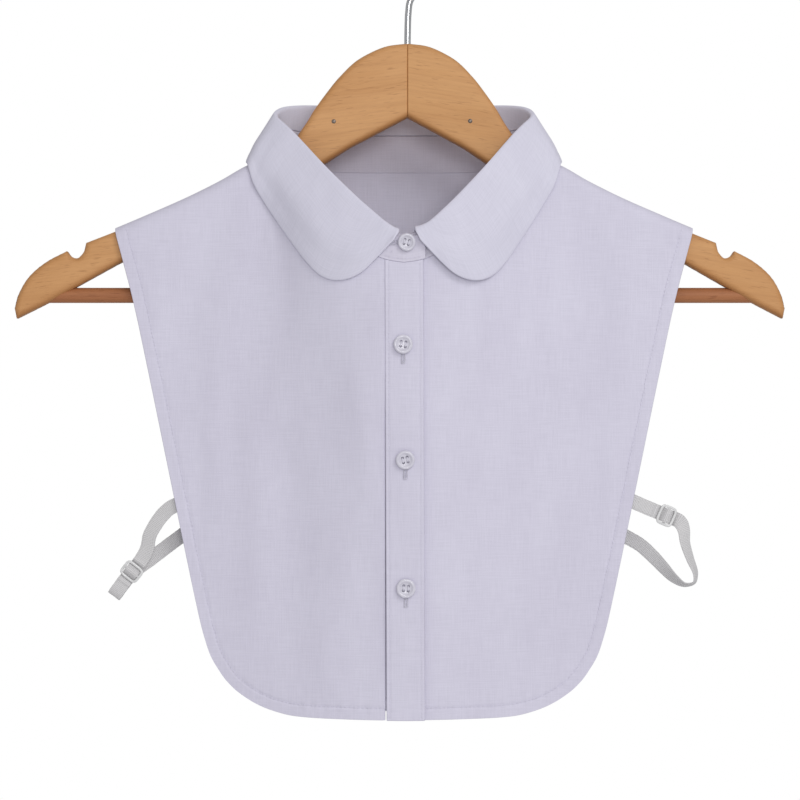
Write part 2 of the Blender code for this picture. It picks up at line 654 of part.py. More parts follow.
def leaf_sections(where):
    # Each section runs from the stand's top up the inner leg, round the roll and
    # down the outside to the edge, as a smooth curve through its control points.
    seam = neck_seam(where)
    roll = roll_curve(where)
    rise = unit(roll - seam)
    out = outward(where)
    under = under_amount(where)
    inset = out * (UNDER_STEP * under)[:, None]
    bend = (LEAF_BEND + 0.5 * under)[:, None]
    start = roll - rise * (leg_length(where)[:, None] - LEAF_LIFT) - inset
    inner = roll - inset - rise * (LEAF_WALL / 2 + bend)
    fold = roll - inset - rise * (LEAF_WALL / 2) + out * bend
    outer = roll - inset - rise * (LEAF_WALL / 2 + bend) + out * 2 * bend
    edge = leaf_edge(where)
    bow = through(SECTION_KNOTS, np.array(TABLE["bow"], dtype=float)[:, None], np.abs(where))
    spine = outer + (edge - outer) * 0.5 + out * bow
    lower = outer + (edge - outer) * 0.8 + out * 0.55 * bow
    return np.stack([start, inner, fold, outer, spine, lower, edge], axis=1)


def build_leaf():
    where = leaf_positions()
    controls = leaf_sections(where)
    stations = np.array([0.0, 0.6, 1.0, 1.4, 1.75, 2.1, 2.5, 3.0, 3.5, 4.0, 4.5, 5.2, 6.0])
    knots = np.arange(7.0)
    middle = np.stack([through(knots, section, stations) for section in controls])
    skew = LEAF_SKEW * smooth_step((np.abs(where) - SIDE_SECTION) / 8.0)
    middle[:, :, 0] += skew[:, None] * np.clip((stations - 0.6) / 1.4, 0.0, 1.0)[None, :]
    placed = to_world(middle)
    # the stations on the outside are laid over the stand and the panels, and those
    # near the edge may be moved further
    clear = LEAF_WALL / 2 + LEAF_CLEAR
    for _ in range(3):
        placed[:, 6:11] = laid_on_cloth(placed[:, 6:11], clear, REACH_OF_CLOTH / 2)
        placed[:, 11:] = laid_on_cloth(placed[:, 11:], clear, REACH_OF_CLOTH)
    normals = grid_normals(placed) * (LEAF_WALL / 2)
    wall_object("collar_leaf", placed + normals, placed - normals, COTTON_EDGE)


# Trims

def build_button(number, x, y, drop):
    # a turned disc with a raised rim, and four holes through it
    profile = BUTTON_PROFILE
    sides = BUTTON_SIDES
    angle = np.linspace(0.0, 2 * math.pi, sides, endpoint=False)
    points = [(0.0, -profile[0][1], 0.0)]
    for radius, rise in profile[1:-1]:
        points += [(radius * math.cos(a), -rise, radius * math.sin(a)) for a in angle]
    points.append((0.0, 0.0, 0.0))
    rings = len(profile) - 2
    faces = []
    for side in range(sides):
        following = (side + 1) % sides
        faces.append([0, 1 + side, 1 + following])
        for ring in range(rings - 1):
            low = 1 + ring * sides
            high = low + sides
            faces.append([low + side, high + side, high + following, low + following])
        base = 1 + (rings - 1) * sides
        faces.append([base + following, base + side, len(points) - 1])
    name = "button_%d" % number
    place = np.array([x + CLOTH_SHIFT, y, float(height(drop))])
    made = mesh_object(name, np.array(points) + place, faces, BUTTON_PLASTIC)
    for across in (-1, 1):
        for up in (-1, 1):
            centre = place + [across * BUTTON_HOLE_SPREAD, -1.0, up * BUTTON_HOLE_SPREAD]
            label = "hole_%d_%d_%d" % (number, across + 1, up + 1)
            cut(made, cylinder_cutter(label, centre, BUTTON_HOLE_RADIUS, 8.0, 1, 6))


def build_buttons():
    x, drop = COLLAR_BUTTON
    build_button(1, x, -COLLAR_BUTTON_FACE - SEAT_GAP, drop)
    for number, (x, drop) in enumerate(BUTTON_ROWS, start=2):
        build_button(number, x, front_depth(x, drop) - PLACKET_PROUD - SEAT_GAP, drop)


def tape_line(rows, count, slider_at):
    # the tape's middle line, woven past the slider, and where and how the slider lies
    rows = np.array(rows, dtype=float)
    fine = by_length(rows * [1.0, 1.0, 1.0, 0.2], np.linspace(0.0, 1.0, 1200)) / [1.0, 1.0, 1.0, 0.2]
    run = np.concatenate([[0.0], np.cumsum(np.linalg.norm(np.diff(fine[:, :3], axis=0), axis=1))])
    away = np.hypot(fine[:, 0] - slider_at[0], fine[:, 2] - slider_at[1]) + 100.0 * (fine[:, 1] > 0)
    here = int(np.argmin(away))
    along = run - run[here]
    fade = 1.0 - smooth_step((np.abs(along) - 5.6) / 3.4)
    swing = WEAVE * np.cos(math.pi * along / (SLIDER_HALF_LENGTH - SLIDER_BAR / 2)) * fade
    centre = fine[here, :3].copy()
    heading = fine[here + 12, :3] - fine[here - 12, :3]
    fine[:, 1] -= swing
    by_slider = run[here] + np.linspace(-8.0, 8.0, 15)
    wanted = np.unique(np.concatenate([np.linspace(0.0, run[-1], count), by_slider]))
    line = np.stack([np.interp(wanted, run, fine[:, axis]) for axis in range(4)], axis=-1)
    return line, centre, heading


def build_tape(name, rows, count, slider_at):
    # a flat tape along its route; twist turns its width away from the front view
    line, centre, heading = tape_line(rows, count, slider_at)
    middle = to_world(line[:, :3])
    way = unit(np.gradient(middle, axis=0))
    flat = unit(np.cross(way, [0.0, 1.0, 0.0]))
    face = np.cross(flat, way)
    twist = np.radians(line[:, 3])[:, None]
    width = np.cos(twist) * flat + np.sin(twist) * face
    depth = unit(np.cross(width, way))
    spread = np.linspace(-0.5, 0.5, 3)[None, :, None] * TAPE_WIDTH
    grid = middle[:, None, :] + spread * width[:, None, :]
    offset = depth[:, None, :] * (TAPE_THICKNESS / 2)
    wall_object(name, grid + offset, grid - offset, ELASTIC)
    turn = math.atan2(heading[0], -heading[2])
    build_slider(name.replace("strap", "slider"), to_world(centre), turn)


def build_slider(name, centre, turn):
    # a flat frame with a middle bar, so that it has two windows for the tape
    half_width = TAPE_WIDTH / 2 + 0.5 + SLIDER_BAR
    half_length = SLIDER_HALF_LENGTH
    xs = [-half_width, -half_width + SLIDER_BAR, half_width - SLIDER_BAR, half_width]
    upper = [SLIDER_BAR / 2, half_length - SLIDER_BAR, half_length]
    zs = [-z for z in upper[::-1]] + upper
    shell = bmesh.new()
    grid = [[shell.verts.new((x * MM, -SLIDER_THICKNESS / 2 * MM, z * MM)) for z in zs] for x in xs]
    for column in range(3):
        for row in range(5):
            if column == 1 and row in (1, 3):
                continue
            left, right = grid[column], grid[column + 1]
            shell.faces.new([left[row], right[row], right[row + 1], left[row + 1]])
    extruded = bmesh.ops.extrude_face_region(shell, geom=list(shell.faces))
    moved = [item for item in extruded["geom"] if isinstance(item, bmesh.types.BMVert)]
    bmesh.ops.translate(shell, verts=moved, vec=(0.0, SLIDER_THICKNESS * MM, 0.0))
    bmesh.ops.recalc_face_normals(shell, faces=shell.faces)
    mesh = bpy.data.meshes.new(name)
    shell.to_mesh(mesh)
    shell.free()
    mesh.materials.append(material(SLIDER_PLASTIC))
    made = bpy.data.objects.new(name, mesh)
    made.location = [value * MM for value in centre]
    made.rotation_euler = (0.0, turn, 0.0)
    bpy.context.collection.objects.link(made)


# The hanger

def arm_outline():
    # the outline of one arm, from the joint's top round the end to the joint's foot
    fractions = np.linspace(0.0, 1.0, 34)
    top = by_length(ARM_TOP, fractions)
    end = by_length([ARM_NOTCH[-1]] + ARM_END, np.linspace(0.0, 1.0, 12))[1:]
    return np.vstack([top, ARM_NOTCH, end, ARM_LOWER])


def build_arm(side):
    sign = -1.0 if side == "left" else 1.0
    outline = arm_outline()
    stretch = ARM_REACH[side] / ARM_SPAN
    x = sign * np.maximum(outline[:, 0] * stretch, SEAM_GAP / 2)
    z = height(outline[:, 1])
    shell = bmesh.new()
    half = WOOD_THICKNESS / 2
    front = [shell.verts.new((px * MM, -half * MM, pz * MM)) for px, pz in zip(x, z)]
    back = [shell.verts.new((px * MM, half * MM, pz * MM)) for px, pz in zip(x, z)]
    front_face = shell.faces.new(front)
    back_face = shell.faces.new(back[::-1])
    count = len(front)
    for place in range(count):
        after = (place + 1) % count
        shell.faces.new([front[after], front[place], back[place], back[after]])
    bmesh.ops.recalc_face_normals(shell, faces=shell.faces)
    for face in shell.faces:
        face.smooth = face not in (front_face, back_face)
    weights = shell.edges.layers.float.new("bevel_weight_edge")
    for rim in (front_face, back_face):
        for edge in rim.edges:
            on_joint = all(abs(vertex.co.x) < 0.001 for vertex in edge.verts)
            edge[weights] = 0.0 if on_joint else 1.0
    name = "hanger_arm_" + side
    mesh = bpy.data.meshes.new(name)
    shell.to_mesh(mesh)
    shell.free()
    mesh.materials.append(material(WOOD))
    made = bpy.data.objects.new(name, mesh)
    bpy.context.collection.objects.link(made)
    rounding = made.modifiers.new("rounded edges", "BEVEL")
    rounding.width = WOOD_ROUNDING * MM
    rounding.segments = 2
    rounding.limit_method = "WEIGHT"
    bar_end = sign * BAR_END * stretch
    inner = sign * BAR_HOLE_INNER
    bar_hole = cylinder_cutter(
        "bar_hole_" + side, ((bar_end + inner) / 2 + sign * 0.4, 0.0, float(height(BAR_DROP))),
        BAR_RADIUS + SEAM_GAP, abs(bar_end - inner) + 0.8, 0)
    cut(made, bar_hole)
    stem_hole = cylinder_cutter(
        "stem_hole_" + side, (0.0, 0.0, WOOD_TOP - HOOK_STEM_DEPTH / 2 + 2.0),
        HOOK_WIRE_RADIUS + SEAM_GAP, HOOK_STEM_DEPTH + 6.0, 2)
    cut(made, stem_hole)


def build_bar():
    ends = [sign * BAR_END * ARM_REACH[side] / ARM_SPAN for sign, side in ((-1, "left"), (1, "right"))]
    middle = np.linspace(ends[0] + 30.0, ends[1] - 30.0, 6)
    along = np.concatenate([[ends[0], ends[0] + 1.5], middle, [ends[1] - 1.5, ends[1]]])
    path = np.stack([along, 0 * along, 0 * along + float(height(BAR_DROP))], axis=-1)
    tube_object("trouser_bar", path, BAR_RADIUS, 20, BAR_WOOD)


def build_hook():
    # a straight stem, a short bend out to the right, then most of a circle over to the left
    centre_z = HOOK_WIRE_RADIUS - HOOK_BEND_RADIUS
    stem = [(0.0, WOOD_TOP - HOOK_STEM_DEPTH), (0.0, WOOD_TOP - 10.0), (0.1, WOOD_TOP + 6.0)]
    bend = [(0.6, -47.0), (1.8, -40.5), (6.2, -35.4)]
    angles = np.radians(np.arange(-48.0, 200.0, 14.0))
    loop = [(HOOK_BEND_RADIUS * math.cos(a), centre_z + HOOK_BEND_RADIUS * math.sin(a)) for a in angles]
    line = by_length(stem + bend + loop, np.linspace(0.0, 1.0, 48))
    path = np.stack([line[:, 0], 0 * line[:, 0], line[:, 1]], axis=-1)
    tube_object("hook", path, HOOK_WIRE_RADIUS, 10, CHROME)


def main():
    clear_scene()
    for side in ("left", "right"):
        build_arm(side)
    build_bar()
    build_hook()
    build_back()
    build_fronts()
    build_placket()
    build_stand()
    build_leaf()
    build_buttons()
    build_tape("strap_left", LEFT_TAPE, 38, LEFT_SLIDER_AT)
    build_tape("strap_right", RIGHT_TAPE, 38, RIGHT_SLIDER_AT)


main()
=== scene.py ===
# Detachable shirt collar on a wooden hanger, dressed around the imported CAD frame.
# Lengths are in millimetres until a mesh is made. A drop is measured down from the
# top of the wooden hanger, and x from the collar's own middle, as in the CAD source.

import math

import bpy
import numpy as np
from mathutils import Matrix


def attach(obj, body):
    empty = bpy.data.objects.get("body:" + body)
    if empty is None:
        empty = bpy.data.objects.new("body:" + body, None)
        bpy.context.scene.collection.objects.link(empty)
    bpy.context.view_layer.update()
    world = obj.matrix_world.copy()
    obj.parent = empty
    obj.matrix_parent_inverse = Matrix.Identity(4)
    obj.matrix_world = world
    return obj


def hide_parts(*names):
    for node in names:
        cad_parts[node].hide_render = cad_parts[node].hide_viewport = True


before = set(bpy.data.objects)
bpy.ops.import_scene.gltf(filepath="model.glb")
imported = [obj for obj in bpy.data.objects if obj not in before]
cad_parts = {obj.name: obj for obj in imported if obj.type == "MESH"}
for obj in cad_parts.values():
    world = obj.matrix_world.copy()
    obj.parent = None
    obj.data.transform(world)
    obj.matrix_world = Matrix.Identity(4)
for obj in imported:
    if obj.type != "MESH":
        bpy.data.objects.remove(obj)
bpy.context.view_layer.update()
print("frame loaded:", len(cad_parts), "CAD nodes")

mm = 0.001
woodTop = -66.0  # height of the hanger's top, below the inside of the hook's crown
clothShift = -2.0  # the collar hangs this far to one side of the hanger's joint


# Curves and grids

def smoothStep(amount):
    # 3a^2 - 2a^3 of the amount, held between 0 and 1
    amount = np.clip(amount, 0.0, 1.0)
    return amount * amount * (3.0 - 2.0 * amount)


def bell(distance, width):
    # a soft bump of height 1: exp of minus the squared share of the width
    return np.exp(-((distance / width) ** 2))


def unit(vectors):
    return vectors / np.maximum(np.linalg.norm(vectors, axis=-1, keepdims=True), 1e-9)


def spans(*parts):
    # positions made of several even spans, each given as (start, end, count)
    pieces = [np.linspace(start, end, count, endpoint=False) for start, end, count in parts]
    return np.concatenate(pieces + [[parts[-1][1]]])


def through(knots, rows, where):
    # cubic Hermite pieces through the rows, each slope being the mean over both neighbours
    knots = np.asarray(knots, dtype=float)
    rows = np.asarray(rows, dtype=float)
    where = np.asarray(where, dtype=float)
    extra = (1,) * (rows.ndim - 1)
    slope = np.empty_like(rows)
    slope[1:-1] = (rows[2:] - rows[:-2]) / (knots[2:] - knots[:-2]).reshape((-1,) + extra)
    slope[0] = (rows[1] - rows[0]) / (knots[1] - knots[0])
    slope[-1] = (rows[-1] - rows[-2]) / (knots[-1] - knots[-2])
    part = np.clip(np.searchsorted(knots, where, side="right") - 1, 0, len(knots) - 2)
    step = (knots[part + 1] - knots[part]).reshape(where.shape + extra)
    t = (where - knots[part]).reshape(where.shape + extra) / step
    start = (2 * t**3 - 3 * t**2 + 1) * rows[part] + (t**3 - 2 * t**2 + t) * step * slope[part]
    end = (3 * t**2 - 2 * t**3) * rows[part + 1] + (t**3 - t**2) * step * slope[part + 1]
    return start + end


def runOf(line):
    # running length along a line of points
    return np.concatenate([[0.0], np.cumsum(np.linalg.norm(np.diff(line, axis=0), axis=1))])


def readLine(line, run, wanted):
    # a line of points read at running lengths
    return np.stack([np.interp(wanted, run, line[:, axis]) for axis in range(line.shape[1])], axis=-1)


def byLength(rows, fractions):
    # points at fractions of the length of the smooth curve through the rows
    chords = runOf(np.asarray(rows, dtype=float))
    line = through(chords, rows, np.linspace(0.0, chords[-1], 900))
    run = runOf(line)
    return readLine(line, run, np.asarray(fractions, dtype=float) * run[-1])


def gridNormals(grid):
    # unit cross product of the steps along the grid's two directions
    return unit(np.cross(np.gradient(grid, axis=0), np.gradient(grid, axis=1)))


def toWorld(points):
    placed = np.array(points, dtype=float)
    placed[..., 0] += clothShift
    placed[..., 2] = woodTop - placed[..., 2]
    return placed


def creaseField(rows, x, drop):
    # Sum of soft ridges and troughs. Each is a bell across the line from one point to
    # another, swayed by a sine along it, and it fades towards both ends.
    total = np.zeros_like(x)
    for x1, drop1, x2, drop2, width, rise in rows:
        length = math.hypot(x2 - x1, drop2 - drop1)
        wayX, wayDrop = (x2 - x1) / length, (drop2 - drop1) / length
        along = ((x - x1) * wayX + (drop - drop1) * wayDrop) / length
        aside = (drop - drop1) * wayX - (x - x1) * wayDrop
        aside = aside + 0.35 * width * np.sin(5.0 * along + 0.1 * x1)
        fade = smoothStep((along + 0.25) / 0.5) * smoothStep((1.25 - along) / 0.5)
        total = total + rise * fade * bell(aside, width)
    return total


def nearestOf(targets, places, block=400):
    # number of the nearest place to each target, worked out a block at a time
    chosen = np.empty(len(targets), dtype=int)
    squares = (places**2).sum(axis=1)
    for start in range(0, len(targets), block):
        part = targets[start:start + block]
        chosen[start:start + block] = (squares[None] - 2.0 * part @ places.T).argmin(axis=1)
    return chosen


# Mesh makers

def facedOutwards(points, faces):
    # the faces of a closed shell, reversed where its volume would come out negative
    corners = points[faces] - points.mean(axis=0)
    volume = 0.0
    for place in range(1, faces.shape[1] - 1):
        volume += (corners[:, 0] * np.cross(corners[:, place], corners[:, place + 1])).sum()
    return faces[:, ::-1] if volume < 0 else faces


def meshObject(name, points, faces, finish, flat=None, sharp=None, rim=None):
    # points in millimetres become one object with smooth shading; flat is the cloth map
    points = np.asarray(points, dtype=float).reshape(-1, 3) * mm
    mesh = bpy.data.meshes.new(name)
    mesh.from_pydata(points.tolist(), [], faces.tolist())
    if flat is not None:
        layer = mesh.uv_layers.new(name="cloth")
        onCorners = np.asarray(flat, dtype=np.float32).reshape(-1, 2)[faces.ravel()] * mm
        layer.data.foreach_set("uv", onCorners.ravel())
    if rim is not None:
        attribute = mesh.attributes.new("rim", "FLOAT", "POINT")
        attribute.data.foreach_set("value", np.asarray(rim, dtype=np.float32).ravel())
    mesh.materials.append(finish)
    mesh.shade_smooth()
    if sharp is not None:
        mesh.set_sharp_from_angle(angle=math.radians(sharp))
    piece = bpy.data.objects.new(name, mesh)
    bpy.context.scene.collection.objects.link(piece)
    return piece


def putPiece(name, points, faces, finish, slot, node=None, **looks):
    # a piece of the collar, which rides with the whole and may stand for a CAD node
    points = np.asarray(points, dtype=float).reshape(-1, 3)
    piece = meshObject(name, points, facedOutwards(points, np.asarray(faces)), finish, **looks)
    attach(piece, "root")
    if node:
        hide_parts(node)
    return piece


def gridFaces(index):
    # quads of a grid of point numbers
    a, b, c, d = index[:-1, :-1], index[1:, :-1], index[1:, 1:], index[:-1, 1:]
    return np.stack([a, b, c, d], axis=-1).reshape(-1, 4)


def fanFaces(ring):
    # a ring of an even count closed by quads that share its first point
    place = np.arange(1, len(ring) - 2, 2)
    return np.stack([ring[0] + 0 * place, ring[place], ring[place + 1], ring[place + 2]], axis=-1)


def ringFaces(rings, sides):
    # quads of a tube of rings, with a fan over its first and its last ring
    index = np.arange(rings * sides).reshape(rings, sides)
    wrapped = np.concatenate([index, index[:, :1]], axis=1)
    return np.concatenate([gridFaces(wrapped), fanFaces(index[0]), fanFaces(index[-1][::-1])])


def wallPiece(name, face, back, flat, finish, slot, node=None, bulge=0.25, sharp=50, rim=None):
    # A closed wall: the outer grid, the inner grid reversed, and round the border a middle
    # row pushed outwards by the bulge, so that the cut or folded edge is rounded.
    rows, columns = face.shape[:2]
    count = rows * columns
    index = np.arange(count).reshape(rows, columns)
    border = np.concatenate([index[:-1, 0], index[-1, :-1], index[:0:-1, -1], index[0, :0:-1]])
    inwards = index[np.clip(np.arange(rows), 1, rows - 2)][:, np.clip(np.arange(columns), 1, columns - 2)]
    middle = ((face + back) / 2).reshape(-1, 3)
    edge = middle[border] + bulge * unit(middle[border] - middle[inwards.ravel()[border]])
    points = np.concatenate([face.reshape(-1, 3), back.reshape(-1, 3), edge])
    here = 2 * count + np.arange(len(border))
    after = np.roll(here, -1)
    following = np.roll(border, -1)
    outerStrip = np.stack([following, border, here, after], axis=-1)
    innerStrip = np.stack([after, here, count + border, count + following], axis=-1)
    quads = gridFaces(index)
    faces = np.concatenate([quads, quads[:, ::-1] + count, outerStrip, innerStrip])
    flat = np.asarray(flat).reshape(-1, 2)
    flat = np.concatenate([flat, flat, flat[border]])
    if rim is not None:
        rim = np.concatenate([rim.ravel(), rim.ravel(), rim.ravel()[border]])
    return putPiece(name, points, faces, finish, slot, node, flat=flat, sharp=sharp, rim=rim)


def tubePiece(name, path, radius, sides, finish, slot, node=None, dome=7):
    # a round bar along a path, ended by domes: rings whose radius is the sine of an angle
    # and whose place along the path is its cosine
    path = np.asarray(path, dtype=float)
    turn = np.linspace(0.06, math.pi / 2, dome)
    first, last = unit(path[1] - path[0]), unit(path[-1] - path[-2])
    head = path[0] - radius * 0.7 * np.cos(turn)[:, None] * first
    tail = path[-1] + radius * 0.7 * np.cos(turn[::-1])[:, None] * last
    line = np.concatenate([head[:-1], path, tail[1:]])
    radii = np.concatenate([np.sin(turn[:-1]), np.ones(len(path)), np.sin(turn[::-1][1:])]) * radius
    way = unit(np.gradient(line, axis=0))
    side = unit(np.cross(way, [0.0, 1.0, 0.0]))
    other = np.cross(side, way)
    angle = np.linspace(0.0, 2 * math.pi, sides, endpoint=False)
    ring = np.cos(angle)[None, :, None] * side[:, None] + np.sin(angle)[None, :, None] * other[:, None]
    rings = line[:, None] + radii[:, None, None] * ring
    return putPiece(name, rings, ringFaces(len(line), sides), finish, slot, node, sharp=40)


def turnedShape(profile, sides):
    # the profile's (radius, height) rows carried round the Y axis, its front facing -Y
    angle = np.linspace(0.0, 2 * math.pi, sides, endpoint=False)
    radius, rise = np.array(profile, dtype=float).T
    points = np.stack([
        radius[:, None] * np.cos(angle), -rise[:, None] + 0 * angle[None], radius[:, None] * np.sin(angle),
    ], axis=-1).reshape(-1, 3)
    return points, facedOutwards(points, ringFaces(len(radius), sides))


def turnedRow(name, centres, profile, sides, finish, slot):
    # the same turned shape at every centre, joined in one mesh
    points, faces = turnedShape(profile, sides)
    shift = np.arange(len(centres))[:, None, None] * len(points)
    everyFace = (faces[None] + shift).reshape(-1, 4)
    return putPiece(name, np.asarray(centres)[:, None] + points[None], everyFace, finish, slot, sharp=35)


def threadRow(name, stitches, radius, finish, slot):
    # Many stitches as one mesh: each is a four-sided spindle of four rings that arches up
    # in its middle and dives into the cloth at both ends. A stitch is a centre, a way, an
    # up and a length.
    centres, way, up, lengths = stitches
    along = np.array([-0.5, -0.28, 0.28, 0.5])
    size = np.array([0.35, 1.0, 1.0, 0.35])
    arch = np.array([-0.9, 0.25, 0.25, -0.9])
    angle = np.radians([45.0, 135.0, 225.0, 315.0])
    side = np.cross(up, way)
    forward = (along[None] * lengths[:, None])[:, :, None, None] * way[:, None, None]
    across = (size[:, None] * np.cos(angle))[None, :, :, None] * side[:, None, None]
    lifted = (arch[:, None] + size[:, None] * np.sin(angle))[None, :, :, None] * up[:, None, None]
    points = centres[:, None, None] + forward + radius * (across + lifted)
    index = np.arange(16).reshape(4, 4)
    spindle = gridFaces(np.concatenate([index, index[:, :1]], axis=1))
    spindle = np.concatenate([spindle, [[0, 1, 2, 3], [15, 14, 13, 12]]])
    faces = (np.arange(len(centres))[:, None, None] * 16 + spindle[None]).reshape(-1, 4)
    return putPiece(name, points, faces, finish, slot)


def stitchesOn(line, normals, pitch, length, above=0.0):
    # even places along a line of points, with the line's direction and the cloth's normal
    run = runOf(line)
    wanted = np.arange(pitch / 2, run[-1], pitch)
    up = unit(readLine(normals, run, wanted))
    way = unit(readLine(line, run, wanted + 0.4) - readLine(line, run, wanted - 0.4))
    return readLine(line, run, wanted) + above * up, way, up, np.full(len(wanted), length)


def gathered(groups):
    # several sets of stitches as one
    return [np.concatenate(part) for part in zip(*groups)]


# Finishes

def newFinish(name, colour, roughness, metallic=0.0):
    made = bpy.data.materials.new(name)
    made.use_nodes = True
    shader = made.node_tree.nodes["Principled BSDF"]
    shader.inputs["Base Color"].default_value = (*colour, 1.0)
    shader.inputs["Roughness"].default_value = roughness
    shader.inputs["Metallic"].default_value = metallic
    return made, made.node_tree.nodes, made.node_tree.links, shader


def mapped(nodes, links, source, stretch, turn=0.0):
    # the object's own coordinates or its cloth map, turned about Y and then stretched
    if source == "cloth":
        place = nodes.new("ShaderNodeUVMap")
        place.uv_map = "cloth"
        out = place.outputs["UV"]
    else:
        out = nodes.new("ShaderNodeTexCoord").outputs["Object"]
    mapping = nodes.new("ShaderNodeMapping")
    mapping.vector_type = "TEXTURE"
    mapping.inputs["Scale"].default_value = stretch
    mapping.inputs["Rotation"].default_value = (0.0, turn, 0.0)
    links.new(out, mapping.inputs["Vector"])
    return mapping.outputs["Vector"]


def noise(nodes, links, vector, scale, detail=3.0, roughness=0.5):
    texture = nodes.new("ShaderNodeTexNoise")
    texture.inputs["Scale"].default_value = scale
    texture.inputs["Detail"].default_value = detail
    texture.inputs["Roughness"].default_value = roughness
    links.new(vector, texture.inputs["Vector"])
    return texture.outputs["Fac"]


def bands(nodes, links, vector, axis, period):
    # sine bands across one axis: the texture has 20 / (2 pi) of them to a metre at scale 1
    texture = nodes.new("ShaderNodeTexWave")
    texture.wave_type = "BANDS"
    texture.bands_direction = axis
    texture.inputs["Scale"].default_value = 2 * math.pi / (20.0 * period)
    links.new(vector, texture.inputs["Vector"])
    return texture.outputs["Fac"]


def combine(nodes, links, operation, *values):
    node = nodes.new("ShaderNodeMath")
    node.operation = operation
    for socket, value in zip(node.inputs, values):
        if isinstance(value, (int, float)):
            socket.default_value = value
        else:
            links.new(value, socket)
    return node.outputs[0]


def ramp(nodes, links, fac, stops):
    # a colour ramp from a list of (position, colour)
    node = nodes.new("ShaderNodeValToRGB")
    elements = node.color_ramp.elements
    while len(elements) < len(stops):
        elements.new(0.5)
    for element, (position, colour) in zip(elements, stops):
        element.position = position
        element.color = (*colour, 1.0)
    links.new(fac, node.inputs["Fac"])
    return node.outputs["Color"]


def blended(nodes, links, fac, first, second, mode="MIX"):
    node = nodes.new("ShaderNodeMix")
    node.data_type = "RGBA"
    node.blend_type = mode
    for place, value in ((0, fac), (6, first), (7, second)):
        if isinstance(value, tuple):
            node.inputs[place].default_value = (*value, 1.0)
        elif isinstance(value, (int, float)):
            node.inputs[place].default_value = value
        else:
            links.new(value, node.inputs[place])
    return node.outputs[2]


def bumped(nodes, links, shader, height, distance, strength):
    bump = nodes.new("ShaderNodeBump")
    bump.inputs["Distance"].default_value = distance
    bump.inputs["Strength"].default_value = strength
    links.new(height, bump.inputs["Height"])
    links.new(bump.outputs["Normal"], shader.inputs["Normal"])


cotton = {
    "thread": 0.00042,  # spacing of the weave's threads, in metres
    "slubScale": 1500.0,
    "sheen": 0.12,
    "roughness": 0.88,
    "bump": 0.35,
}


def cottonFinish(name, tint, shade):
    # Plain weave: warp and weft bands under fine slubs that run along both threads, over
    # wide upright clouds of a slightly deeper tint.
    made, nodes, links, shader = newFinish(name, tint, cotton["roughness"])
    shader.inputs["Sheen Weight"].default_value = cotton["sheen"]
    shader.inputs["Sheen Roughness"].default_value = 0.5
    shader.inputs["Specular IOR Level"].default_value = 0.25
    even = mapped(nodes, links, "cloth", (1.0, 1.0, 1.0))
    warp = bands(nodes, links, even, "X", cotton["thread"])
    weft = bands(nodes, links, even, "Y", cotton["thread"])
    over = combine(nodes, links, "MULTIPLY", warp, weft)
    upright = noise(nodes, links, mapped(nodes, links, "cloth", (1.0, 22.0, 1.0)), cotton["slubScale"], 2.0)
    level = noise(nodes, links, mapped(nodes, links, "cloth", (22.0, 1.0, 1.0)), cotton["slubScale"], 2.0)
    slub = combine(nodes, links, "MULTIPLY_ADD", upright, 0.5, combine(nodes, links, "MULTIPLY", level, 0.5))
    streak = noise(nodes, links, mapped(nodes, links, "cloth", (1.0, 6.0, 1.0)), 60.0, 3.0)
    cloud = noise(nodes, links, mapped(nodes, links, "object", (1.0, 1.0, 1.6)), 26.0, 3.0, 0.6)
    mottle = combine(nodes, links, "MULTIPLY_ADD", streak, 0.45, combine(nodes, links, "MULTIPLY", cloud, 0.55))
    colour = ramp(nodes, links, mottle, [(0.36, shade), (0.62, tint)])
    thread = ramp(nodes, links, slub, [(0.36, (0.93, 0.93, 0.935)), (0.6, (1.0, 1.0, 1.0))])
    colour = blended(nodes, links, 1.0, colour, thread, "MULTIPLY")
    links.new(colour, shader.inputs["Base Color"])
    height = combine(nodes, links, "MULTIPLY_ADD", slub, 1.6, over)
    bumped(nodes, links, shader, height, 0.00012, cotton["bump"])
    return made


def threadFinish():
    # sewing cotton, whose twist is fine slanting bands
    made, nodes, links, shader = newFinish("sewingThread", (0.72, 0.705, 0.81), 0.6)
    shader.inputs["Sheen Weight"].default_value = 0.2
    twist = bands(nodes, links, mapped(nodes, links, "object", (1.0, 1.0, 1.0), 0.6), "X", 0.00025)
    colour = ramp(nodes, links, twist, [(0.2, (0.62, 0.60, 0.70)), (0.8, (0.76, 0.745, 0.85))])
    links.new(colour, shader.inputs["Base Color"])
    bumped(nodes, links, shader, twist, 0.00005, 0.4)
    return made


def elasticFinish():
    # knitted elastic: fine ribs across the tape and cords along it, under a soft fuzz
    light, dark = (0.70, 0.69, 0.70), (0.50, 0.49, 0.50)
    made, nodes, links, shader = newFinish("elasticTape", light, 0.8)
    shader.inputs["Sheen Weight"].default_value = 0.2
    even = mapped(nodes, links, "cloth", (1.0, 1.0, 1.0))
    ribs = bands(nodes, links, even, "X", 0.0009)
    cords = bands(nodes, links, even, "Y", 0.0012)
    fuzz = noise(nodes, links, even, 1400.0, 3.0)
    mixed = combine(nodes, links, "MULTIPLY_ADD", fuzz, 0.6, combine(nodes, links, "MULTIPLY", ribs, 0.4))
    links.new(ramp(nodes, links, mixed, [(0.22, dark), (0.6, light)]), shader.inputs["Base Color"])
    bumped(nodes, links, shader, combine(nodes, links, "MULTIPLY_ADD", ribs, 0.7, cords), 0.00018, 0.6)
    return made


